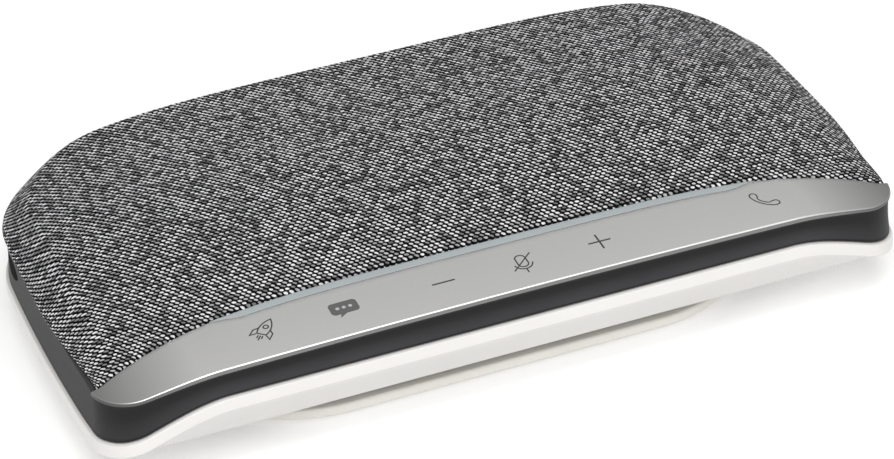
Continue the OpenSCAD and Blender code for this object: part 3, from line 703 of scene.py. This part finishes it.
def finish_cad_nodes():
    """Gives each CAD node its slot's material, smooth shading and a small soft edge."""
    for row in frame["record"]["subparts"]:
        obj = frame["nodes"][row["node"]]
        obj.data.materials.clear()
        obj.data.materials.append(PAINTS[row["material_slot"]])
        custom = obj.data.attributes.get("custom_normal")
        if custom:
            obj.data.attributes.remove(custom)
        obj.data.polygons.foreach_set("use_smooth", [True] * len(obj.data.polygons))
        weld = obj.modifiers.new("weld", "WELD")
        weld.merge_threshold = 0.002 * MM
        bevel = obj.modifiers.new("bevel", "BEVEL")
        bevel.width = BEVELS.get(row["node"], 0.12) * MM
        bevel.segments = 3
        bevel.limit_method = "ANGLE"
        bevel.angle_limit = math.radians(40)
        bevel.use_clamp_overlap = True
        obj.modifiers.new("normals", "WEIGHTED_NORMAL")


# ---------- fabric cover ----------

HEM_R = 0.5
HEM_LENGTH = 1.3
THREAD_DEPTH = 0.16
EDGE_Z = FABRIC_Z + HEM_R
TUCK_DEPTH = 0.5
TUCK_REACH = 1.0
SAMPLE_RISE = 10.0


def shoulder_curve(height):
    """Length along the shoulder's curve, and its depth and height shares, at many points."""
    angle = np.linspace(0, math.pi / 2, 500)
    out = np.sin(angle) ** (2 / SHOULDER_POWER)
    up = np.cos(angle) ** (2 / SHOULDER_POWER)
    steps = np.hypot(np.diff(out) * SHOULDER_W, np.diff(up) * height)
    return np.concatenate([[0], np.cumsum(steps)]), out, up


def thread_height(wx, wy):
    """0 in a gap of the weave and 1 on top of a raised thread."""
    best = np.zeros_like(wx)
    for offset in (0, 1):
        a = (wx / WEAVE_X - offset + 1) % 2 - 1
        b = (wy / WEAVE_Y - offset + 1) % 2 - 1 + THREAD_LEAN * a
        inside = np.clip(1 - (a / 0.8) ** 2 - (b / 0.54) ** 2, 0, 1)
        best = np.maximum(best, np.sqrt(inside))
    return best


def drape(wx, wy):
    """Lays flat weave positions over the dome. Returns points, laid positions and what was cut off."""
    corner = BACK_R - FABRIC_IN - SHOULDER_W
    cx = FABRIC_X - SHOULDER_W - corner
    cy = FABRIC_Y - SHOULDER_W - corner
    side = np.sign(wx)
    front = bar_edge_y(np.clip(wx, -FABRIC_X, FABRIC_X)) + 0.15
    cut = wy < front
    y = np.maximum(wy, front)
    dx = np.maximum(np.abs(wx) - cx, 0)
    dy = np.maximum(y - cy, 0)
    far = np.hypot(dx, dy)
    beyond = np.maximum(far - corner, 0)
    nx = dx / np.maximum(far, 1e-9)
    ny = dy / np.maximum(far, 1e-9)
    base_x = np.abs(wx) - nx * beyond
    base_y = y - ny * beyond

    curve, out, up = shoulder_curve(SAMPLE_RISE)
    height = crown_z(base_x + nx * SHOULDER_W, base_y + ny * SHOULDER_W) - EDGE_Z
    length = curve[-1] * np.hypot(SHOULDER_W, height) / math.hypot(SHOULDER_W, SAMPLE_RISE)
    cut |= beyond > length + HEM_LENGTH
    beyond = np.minimum(beyond, length + HEM_LENGTH)
    share = np.clip(beyond / length, 0, 1) * curve[-1]
    reach = np.interp(share, curve, out) * SHOULDER_W
    lift = np.interp(share, curve, up)
    turn = np.clip((beyond - length) / HEM_R, 0, HEM_LENGTH / HEM_R)
    reach = reach - HEM_R * (1 - np.cos(turn))
    plan_x, plan_y = drawn_in(side * (base_x + nx * reach), base_y + ny * reach)
    z = EDGE_Z + (crown_z(plan_x, plan_y) - EDGE_Z) * lift - HEM_R * np.sin(turn)
    near = 1 - np.clip((y - front) / TUCK_REACH, 0, 1)
    z = z - TUCK_DEPTH * (1 - np.sqrt(1 - near**2))
    points = np.stack([plan_x, plan_y, z], -1)
    laid = np.stack([side * (base_x + nx * beyond), base_y + ny * beyond], -1)
    return points, laid, cut


def grid_normals(points):
    along = np.gradient(points, axis=0)
    across = np.gradient(points, axis=1)
    normal = np.cross(along, across)
    size = np.linalg.norm(normal, axis=-1, keepdims=True)
    return normal / np.maximum(size, 1e-9)


def fabric_cover():
    """Woven cover: a sheet laid over the dome, with every raised thread in its surface."""
    reach_x = int((FABRIC_X + 8) / WEAVE_X * 2)
    reach_back = int((FABRIC_Y + 14) / WEAVE_Y * 2)
    reach_front = int((HALF_D - 3) / WEAVE_Y * 2)
    wx, wy = np.meshgrid(
        np.arange(-reach_x, reach_x + 1) * WEAVE_X / 2,
        np.arange(-reach_front, reach_back + 1) * WEAVE_Y / 2,
        indexing="ij",
    )
    points, laid, cut = drape(wx, wy)
    depth = THREAD_DEPTH * (1 - thread_height(wx, wy))
    points = points - grid_normals(points) * depth[..., None]
    rows, columns = wx.shape
    faces = grid_faces(rows, columns)
    faces = faces[~cut.ravel()[faces].all(axis=1)]
    used, index = np.unique(faces, return_inverse=True)
    obj = make_object(
        "woven_cover", points.reshape(-1, 3)[used], index.reshape(faces.shape), "melange_fabric"
    )
    weave = obj.data.attributes.new("weave", "FLOAT_VECTOR", "POINT")
    flat = np.concatenate([laid.reshape(-1, 2)[used], np.zeros((len(used), 1))], axis=1)
    weave.data.foreach_set("vector", flat.astype(np.float32).ravel())
    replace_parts(obj, "fabric_cover")
    return obj


# ---------- base shell, wall and foot ----------

FLOOR_TOP = BASE_Z + 1.8
OPENING_X, OPENING_Y, OPENING_R = 50, 30, 26
CREASE_SOFT = 0.12
BAND_IN = 0.13
RIM_R = 0.3


def shell_ring(t):
    """Ring of the shell's outer face. t is 0 at its lower edge, 1 at the crease and 2 at the rim."""
    if abs(t - 1) < CREASE_SOFT:
        tuck = (1 - t + CREASE_SOFT) ** 2 / (4 * CREASE_SOFT)
    else:
        tuck = max(1 - t, 0)
    inset = BASE_TUCK * tuck + BAND_IN * max(t - 1, 0)

    def height(x, y):
        low = BASE_Z + 0.35
        top = seam_z(x, y) - RIM_R
        crease = np.maximum(top - SKIRT_BAND + RIM_R, low + 0.1)
        return low + (crease - low) * min(t, 1) + (top - crease) * max(t - 1, 0)

    return ring_at(inset, height)


def base_shell():
    """White shell with a tucked-under skirt and a soft crease below its upright band."""
    rings = []
    opening = round_plan(OPENING_X, OPENING_Y, OPENING_R, OPENING_R)
    for z in (FLOOR_TOP, BASE_Z):
        rings.append(np.column_stack([opening, np.full(len(opening), z)]))
    for inset, lift in ((1.2, 0), (0.45, 0.02), (0.12, 0.14)):
        rings.append(ring_at(BASE_TUCK + inset, BASE_Z + lift))
    below = (0, 0.15, 0.3, 0.45, 0.6, 0.75, 0.84)
    crease = (0.88, 0.92, 0.96, 1, 1.04, 1.08, 1.12, 1.16)
    for t in (*below, *crease, 1.4, 1.7, 2):
        rings.append(shell_ring(t))
    for turn in np.radians((20, 40, 60, 80, 90)):
        drop = RIM_R * (1 - math.sin(turn))
        inset = BAND_IN + RIM_R * (1 - math.cos(turn))
        rings.append(ring_at(inset, lambda x, y, drop=drop: seam_z(x, y) - drop))
    for inset in (WALL_IN + 0.3, WALL_IN + WALL_T):
        rings.append(ring_at(inset, seam_z))
    rings.append(ring_at(BASE_TUCK + 0.8, FLOOR_TOP))
    obj = tyre("white_base_shell", rings, "white_shell", crease=50)
    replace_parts(obj, "base_shell")


def wall_inset(t):
    """Inset of the wall's hollow face; t runs from the seam to its upper edge."""
    return 0.8 + (WALL_IN - 0.8) * np.sin(np.clip(t / 0.75, 0, 1) * math.pi / 2)


def dark_wall():
    """Charcoal wall with its openings for keys, port, light pipe and strap."""
    rings = []
    low = lambda x, y: seam_z(x, y) + SEAL_T
    for inset, lift in ((WALL_IN + 0.3, 0), (1.0, 0), (0.86, 0.05)):
        rings.append(ring_at(inset, lambda x, y, lift=lift: low(x, y) + lift))
    for t in np.linspace(0.03, 0.97, 14):
        level = lambda x, y, t=t: low(x, y) + (wall_top(x, y) - low(x, y)) * t
        rings.append(ring_at(float(wall_inset(t)), level))
    for inset, drop in ((WALL_IN + 0.04, 0.08), (WALL_IN + 0.15, 0.0), (WALL_IN + WALL_T, 0.0)):
        rings.append(ring_at(inset, lambda x, y, drop=drop: wall_top(x, y) - drop))
    rings.append(ring_at(WALL_IN + WALL_T, low))
    obj = tyre("dark_wall", rings, "charcoal_wall", crease=45)
    carve(obj, wall_cutters(), crease=45)
    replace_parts(obj, "mid_housing")


KEY_W, KEY_H = 8.4, 3.4
PIPE_D = 2.2
STRAP_W, STRAP_H = 10, 4.4
OPENING_GAP = 0.3


def wall_cutters():
    """Openings on the right side, and the strap slot on the left."""

    def middle(node):
        """Centre in Y and Z, and the size in Y and Z, of a CAD node."""
        low, high = span(node)
        centre, size = (low + high) / 2, high - low
        return centre[1], centre[2], size[1], size[2]

    plans = []
    for node in ("power_key", "pairing_key"):
        y, z = middle(node)[:2]
        plans.append(stadium(y, z, KEY_W + OPENING_GAP, KEY_H + OPENING_GAP))
    y, z, width, height = middle("charge_port")
    plans.append(stadium(y, z, width + OPENING_GAP, height + OPENING_GAP))
    y, z = middle("battery_light_pipe")[:2]
    plans.append(stadium(y, z, PIPE_D, PIPE_D - 0.001))
    cutters = [prism(plan, "X", HALF_W - 6, HALF_W + 2) for plan in plans]
    y, z = middle("strap_pocket")[:2]
    cutters.append(prism(lens(y, z, STRAP_W, STRAP_H), "X", -HALF_W - 2, -HALF_W + 6))
    return cutters


def lens(cy, cz, length, height, steps=20):
    """Pointed oval in the Y-Z plane."""
    radius = ((length / 2) ** 2 + (height / 2) ** 2) / height
    half = math.degrees(math.asin(length / 2 / radius))
    top = arc_points(cy, cz + height / 2 - radius, radius, 90 - half, 2 * half, steps)
    bottom = arc_points(cy, cz - height / 2 + radius, radius, 270 - half, 2 * half, steps)
    return np.concatenate([top[:-1], bottom[:-1]])


FOOT_R = 32
FLANGE_TOP = foot_low[2] + 2.6
WAIST_IN = 5.5
SOLE_R = 1.1
FLANGE_EDGE_R = 0.6
FOOT_FLOOR = 1.4
BAY_W, BAY_D, BAY_FLOOR = 52, 13, 1.2


def foot_ring(inset, z):
    hx, hy = foot_high[0] - inset, foot_high[1] - inset
    r = FOOT_R - inset
    plan = round_plan(hx, hy, r, r)
    return np.column_stack([plan, np.full(len(plan), z)])


def cream_foot():
    """Foot with a soft-edged flange, a waist that the cable wraps round, and a bay for the plug."""
    bottom, top = foot_low[2], foot_high[2]
    rings = [foot_ring(8.0, bottom), foot_ring(SOLE_R, bottom)]
    for turn in np.radians(np.linspace(15, 90, 6)):
        inset, lift = SOLE_R * (1 - math.sin(turn)), SOLE_R * (1 - math.cos(turn))
        rings.append(foot_ring(inset, bottom + lift))
    for turn in np.radians(np.linspace(0, 90, 5)):
        inset, drop = FLANGE_EDGE_R * (1 - math.cos(turn)), FLANGE_EDGE_R * (1 - math.sin(turn))
        rings.append(foot_ring(inset, FLANGE_TOP - drop))
    rings += [foot_ring(WAIST_IN - 0.6, FLANGE_TOP), foot_ring(WAIST_IN - 0.1, FLANGE_TOP + 0.2)]
    rings += [foot_ring(WAIST_IN, FLANGE_TOP + 0.8), foot_ring(WAIST_IN, top)]
    rings += [foot_ring(WAIST_IN + 3, top), foot_ring(WAIST_IN + 3, bottom + FOOT_FLOOR)]
    rings += [foot_ring(20, bottom + FOOT_FLOOR), foot_ring(20, bottom)]
    obj = tyre("cream_foot", rings, "cream_foot", crease=40)
    front, back = foot_high[1] - BAY_D, foot_high[1] + 3
    half = BAY_W / 2
    bay = [(-half, front), (half, front), (half, back), (-half, back)]
    carve(obj, [prism(bay, "Z", bottom + BAY_FLOOR, top + 2)], crease=40)
    return obj


# ---------- touch bar, light strip and icons ----------


def bar_stations(half, count):
    """Positions along the bar, closer together towards its ends."""
    t = np.linspace(-1, 1, count)
    return half * (0.6 * t + 0.4 * np.sin(t * math.pi / 2))


def unit(vectors):
    return vectors / np.maximum(np.linalg.norm(vectors, axis=-1, keepdims=True), 1e-9)


def bar_frames(x):
    """Upper edge, lip, direction down the face, outward normal and level outward direction."""
    a, b = face_top(x), lip_point(x)
    down = unit(b - a)
    along = unit(np.gradient(b, axis=0))
    normal = unit(np.cross(along, down))
    normal *= np.where(normal[:, 2:] < 0, -1, 1)
    level = unit(np.column_stack([along[:, 1], -along[:, 0], np.zeros(len(x))]))
    return a, b, down, normal, level


def touch_bar():
    """Silver bar with a rolled lip along its front edge."""
    x = bar_stations(TIP_X, 321)
    a, b, down, normal, level = bar_frames(x)
    thick = bar_t(x)[:, None]
    roll = 0.36 * thick
    face_length = np.linalg.norm(b - a, axis=1)[:, None]
    start = (light_share(x) + 0.012)[:, None]
    end = 1 - roll / face_length
    columns = []
    top = face_point(x[:, None], start)[:, 0]
    columns.append(top - normal * thick * 0.8 + down * 0.1)
    columns.append(top - normal * 0.1)
    for share in np.linspace(0.01, 1, 12):
        columns.append(face_point(x[:, None], start + (end - start) * share)[:, 0])
    centre = columns[-1] - normal * roll
    slope = np.arctan2(-down[:, 2], np.linalg.norm(down[:, :2], axis=1))[:, None]
    for share in np.linspace(0.12, 1, 8):
        turn = (math.pi / 2 - slope) * share
        columns.append(centre + (normal * np.cos(turn) + down * np.sin(turn)) * roll)
    foot_r = 0.18 * thick
    side = columns[-1]
    drop = b[:, 2:] - thick + 0.05
    low = side.copy()
    low[:, 2:] = drop + foot_r
    columns.append(side * 0.5 + low * 0.5 + level * 0.03)
    columns.append(low)
    for turn in np.radians((30, 60, 90)):
        point = low - level * foot_r * (1 - math.cos(turn))
        point[:, 2] -= (foot_r * math.sin(turn))[:, 0]
        columns.append(point)
    columns.append(columns[-1] - level * thick)
    sections = np.stack(columns, axis=1)
    obj = beam("silver_touch_bar", sections, "satin_silver", crease=55)
    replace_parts(obj, "control_bar")


def light_strip():
    """Translucent strip between the fabric and the silver face."""
    x = bar_stations(LIGHT_HALF - 0.6, 241)
    a, b, down, normal, level = bar_frames(x)
    share = light_share(x)[:, None]
    columns = []
    top = face_point(x[:, None], 0 * share)[:, 0]
    columns.append(top - normal * 1.3)
    columns.append(top - normal * 0.25)
    for t in (0.12, 0.3, 0.5, 0.7, 0.88):
        columns.append(face_point(x[:, None], share * t)[:, 0] - normal * 0.06)
    edge = face_point(x[:, None], share)[:, 0]
    columns.append(edge - normal * 0.12)
    columns.append(edge - normal * 1.3)
    obj = beam("light_diffuser_strip", np.stack(columns, axis=1), "light_diffuser", crease=60)
    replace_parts(obj, "light_strip")


LINE_W = 0.3
PRINT_T = 0.025


def on_face(x0, v0, points):
    """Places flat icon points on the bar's face, a print's thickness proud of it."""
    points = np.asarray(points, float)
    x = x0 + points[:, 0]
    length = np.linalg.norm(lip_point(x) - face_top(x), axis=1)
    spot = face_point(x, v0 - points[:, 1] / length)
    a = face_point(x, np.full(len(x), v0))
    normal = np.cross(face_point(x + 0.1, v0) - a, face_point(x, v0 - 0.02) - a)
    return spot, unit(normal)


def ribbon(points, width, closed=False):
    """Left and right edges of a stroke with mitred corners."""
    points = np.asarray(points, float)
    if closed:
        ahead, behind = np.roll(points, -1, axis=0), np.roll(points, 1, axis=0)
    else:
        ahead = np.concatenate([points[1:], points[-1:] * 2 - points[-2:-1]])
        behind = np.concatenate([points[:1] * 2 - points[1:2], points[:-1]])
    into, out = unit(points - behind), unit(ahead - points)
    side_in = np.stack([-into[:, 1], into[:, 0]], -1)
    side_out = np.stack([-out[:, 1], out[:, 0]], -1)
    side = unit(side_in + side_out)
    stretch = np.clip(1 / np.maximum((side * side_in).sum(1), 0.3), 1, 2)[:, None]
    return points + side * stretch * width / 2, points - side * stretch * width / 2


def icon(name, x0, v0, strokes=(), fills=(), paint="dark_ink", width=LINE_W, lift=PRINT_T):
    """Printed icon: strokes are (points, closed); fills are closed outlines."""
    verts, faces = [], []

    def add(outline_a, outline_b, quads):
        """Adds a raised band between two outlines of the same length."""
        base = sum(len(v) for v in verts)
        for outline_points in (outline_a, outline_b):
            spot, normal = on_face(x0, v0, outline_points)
            verts.append(spot + normal * lift)
            verts.append(spot - normal * PRINT_T * 2)
        n = len(outline_a)
        a_top, a_low, b_top, b_low = base, base + n, base + 2 * n, base + 3 * n
        for i, j in quads:
            faces.append([a_top + i, a_top + j, b_top + j, b_top + i])
            faces.append([a_top + i, a_low + i, a_low + j, a_top + j])
            faces.append([b_top + i, b_top + j, b_low + j, b_low + i])
            faces.append([a_low + i, b_low + i, b_low + j, a_low + j])
        return a_top, a_low, b_top, b_low

    for points, closed in strokes:
        left, right = ribbon(points, width, closed)
        n = len(left)
        quads = [(i, (i + 1) % n) for i in range(n if closed else n - 1)]
        a_top, a_low, b_top, b_low = add(left, right, quads)
        if not closed:
            for k in (0, n - 1):
                faces.append([a_top + k, b_top + k, b_low + k, a_low + k])
    for points in fills:
        points = np.asarray(points, float)
        base = sum(len(v) for v in verts)
        spot, normal = on_face(x0, v0, points)
        verts.append(spot + normal * lift)
        verts.append(spot - normal * PRINT_T * 2)
        n = len(points)
        faces.append([base + i for i in range(n)])
        faces.append([base + n + i for i in reversed(range(n))])
        faces += [[base + i, base + n + i, base + n + (i + 1) % n, base + (i + 1) % n] for i in range(n)]
    mesh = bpy.data.meshes.new(name)
    mesh.from_pydata((np.concatenate(verts) * MM).tolist(), [], faces)
    obj = adopt(name, mesh, paint, 30)
    outward(obj)
    return obj


def turned(points, angle, scale=1.0):
    c, s = math.cos(math.radians(angle)), math.sin(math.radians(angle))
    points = np.asarray(points, float) * scale
    return np.stack([points[:, 0] * c - points[:, 1] * s, points[:, 0] * s + points[:, 1] * c], -1)


def circle(cx, cy, radius, steps=24):
    return arc_points(cx, cy, radius, 0, 360, steps)[:-1]


def rocket_strokes():
    """Rocket drawn nose up, then leaned to the right."""
    t = np.linspace(0, 1, 13)[:, None]
    nose, hip = np.array([0, 4.0]), np.array([1.15, -1.7])
    bulge = np.array([2.15, 1.2])
    right = (1 - t) ** 2 * nose + 2 * t * (1 - t) * bulge + t**2 * hip
    left = right * [-1, 1]
    body = np.concatenate([right, left[::-1][:-1]])
    fin = np.array([[1.35, 0.3], [2.5, -0.9], [2.55, -2.9], [1.3, -1.9]])
    shapes = [
        (body, True),
        (circle(0, 1.0, 0.62), True),
        (fin, False),
        (fin * [-1, 1], False),
        (np.array([[-0.55, -2.3], [-0.6, -3.3]]), False),
        (np.array([[0.0, -2.3], [0.0, -3.9]]), False),
        (np.array([[0.55, -2.3], [0.6, -3.3]]), False),
    ]
    return [(turned(points, -42, 0.88), closed) for points, closed in shapes]


def handset_strokes():
    """Telephone handset with its hollow side up and to the right."""
    outer = np.concatenate([
        arc_points(-2.9, 0.75, 0.9, 200, -150, 8),
        [[-1.75, 0.55], [-1.6, 0.0]],
        arc_points(0, 2.6, 3.05, 238, 64, 10),
        [[1.6, 0.0], [1.75, 0.55]],
        arc_points(2.9, 0.75, 0.9, 130, -150, 8),
        arc_points(0, 4.4, 5.75, 306, -72, 14),
    ])
    return [(turned(outer, -44, 0.88), True)]


def mute_strokes():
    """Microphone in its cradle with a stroke through it."""
    capsule = np.concatenate([arc_points(0, 1.2, 1.1, 0, 180, 10), arc_points(0, -0.6, 1.1, 180, 180, 10)])
    cradle = arc_points(0, -0.4, 2.0, 190, 160, 16)
    return [
        (capsule, True),
        (cradle, False),
        (np.array([[0, -2.4], [0, -3.7]]), False),
        (np.array([[-2.6, -2.4], [2.6, 2.4]]), False),
    ]


def chat_bubble():
    """Speech bubble outline with a tail, for the generic meeting key."""
    return turned(np.concatenate([
        arc_points(2.5, 1.4, 1.1, 0, 90, 6),
        arc_points(-2.5, 1.4, 1.1, 90, 90, 6),
        arc_points(-2.5, -0.9, 1.1, 180, 90, 6),
        [[-1.5, -2.0], [-1.9, -3.2], [0.1, -2.0]],
        arc_points(2.5, -0.9, 1.1, 270, 90, 6),
    ]), 0, 0.85)


ICON_CROSS = 2.5
ICON_MIDDLE = 4.1


def icon_share(x):
    """Share of the face's depth at which an icon sits, a little higher towards the ends."""
    return 0.56 - 0.055 * (x / 55) ** 2


def printed_icons():
    """The six touch icons along the bar."""
    end, app, step = 56.3, 39, 17.4
    level = (np.array([[-ICON_CROSS, 0], [ICON_CROSS, 0]]), False)
    upright = (np.array([[0, -ICON_CROSS], [0, ICON_CROSS]]), False)

    def put(name, offset, **drawing):
        x = ICON_MIDDLE + offset
        icon(name, x, icon_share(x), **drawing)

    put("icon_rocket", -end, strokes=rocket_strokes())
    put("icon_chat", -app, fills=[chat_bubble()], paint="grey_ink")
    dots = [circle(dx, 0.2, 0.42) for dx in (-1.4, 0, 1.4)]
    put("icon_chat_dots", -app, fills=dots, paint="pale_ink", lift=2 * PRINT_T)
    put("icon_minus", -step, strokes=[level], width=0.4)
    put("icon_mute", 0, strokes=mute_strokes())
    put("icon_plus", step, strokes=[level, upright], width=0.4)
    put("icon_handset", end - 0.7, strokes=handset_strokes())


# ---------- stage ----------

CAMERA_AZIMUTH = -20.31
CAMERA_ELEVATION = 33.5
CAMERA_ROLL = -2.83
CAMERA_DISTANCE = 711.13
CAMERA_TARGET = (0.64, -4.34, 15)
CAMERA_LENS = 133.3


def camera():
    """Camera at the viewing angle that shows the left side and the front."""
    az, el, roll = (math.radians(v) for v in (CAMERA_AZIMUTH, CAMERA_ELEVATION, CAMERA_ROLL))
    back = Vector((math.sin(az) * math.cos(el), -math.cos(az) * math.cos(el), math.sin(el)))
    right = (-back).cross(Vector((0, 0, 1))).normalized()
    up = right.cross(-back)
    x_axis = right * math.cos(roll) + up * math.sin(roll)
    y_axis = up * math.cos(roll) - right * math.sin(roll)
    data = bpy.data.cameras.new("camera")
    data.lens = CAMERA_LENS
    data.sensor_width = 36
    data.clip_start, data.clip_end = 0.01, 20
    obj = bpy.data.objects.new("camera", data)
    bpy.context.scene.collection.objects.link(obj)
    place = Matrix((x_axis, y_axis, back)).transposed().to_4x4()
    place.translation = (Vector(CAMERA_TARGET) + back * CAMERA_DISTANCE) * MM
    obj.matrix_world = place
    bpy.context.scene.camera = obj


def floor():
    """Plain pale floor, large enough to reach past every view."""
    r = Recipe("pale_floor")
    tone = r.mix(r.noise(3.0, 2.0), 0.86, 0.88)
    r.set(Base_Color=tone, Roughness=0.9, Specular_IOR_Level=0.1)
    r.set(Emission_Color=rgba(1.0), Emission_Strength=0.25)
    size = 6.0
    mesh = bpy.data.meshes.new("floor")
    corners = [(-size, -size, 0), (size, -size, 0), (size, size, 0), (-size, size, 0)]
    mesh.from_pydata(corners, [], [(0, 1, 2, 3)])
    mesh.materials.append(r.material)
    obj = bpy.data.objects.new("floor", mesh)
    bpy.context.scene.collection.objects.link(obj)


def softbox(name, azimuth, elevation, distance, size, power):
    """Area light that points at the object's middle."""
    az, el = math.radians(azimuth), math.radians(elevation)
    back = Vector((math.sin(az) * math.cos(el), -math.cos(az) * math.cos(el), math.sin(el)))
    data = bpy.data.lights.new(name, "AREA")
    data.shape = "RECTANGLE"
    data.size, data.size_y = size
    data.energy = power
    obj = bpy.data.objects.new(name, data)
    bpy.context.scene.collection.objects.link(obj)
    obj.location = back * distance
    obj.rotation_mode = "QUATERNION"
    obj.rotation_quaternion = (-back).to_track_quat("-Z", "Y")


def studio():
    """Even white surroundings with two softboxes."""
    world = bpy.data.worlds.new("studio")
    bpy.context.scene.world = world
    world.use_nodes = True
    background = world.node_tree.nodes["Background"]
    background.inputs["Strength"].default_value = 0.4
    background.inputs["Color"].default_value = rgba(1.0)
    softbox("key", -15, 55, 1.2, (0.9, 0.9), 8)
    softbox("top", 20, 80, 1.2, (1.2, 0.6), 3)
    bpy.context.scene.view_settings.view_transform = "Standard"


# ---------- build ----------

finish_cad_nodes()
fabric_cover()
base_shell()
dark_wall()
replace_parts(cream_foot(), "foot")
touch_bar()
light_strip()
printed_icons()
floor()
studio()
camera()
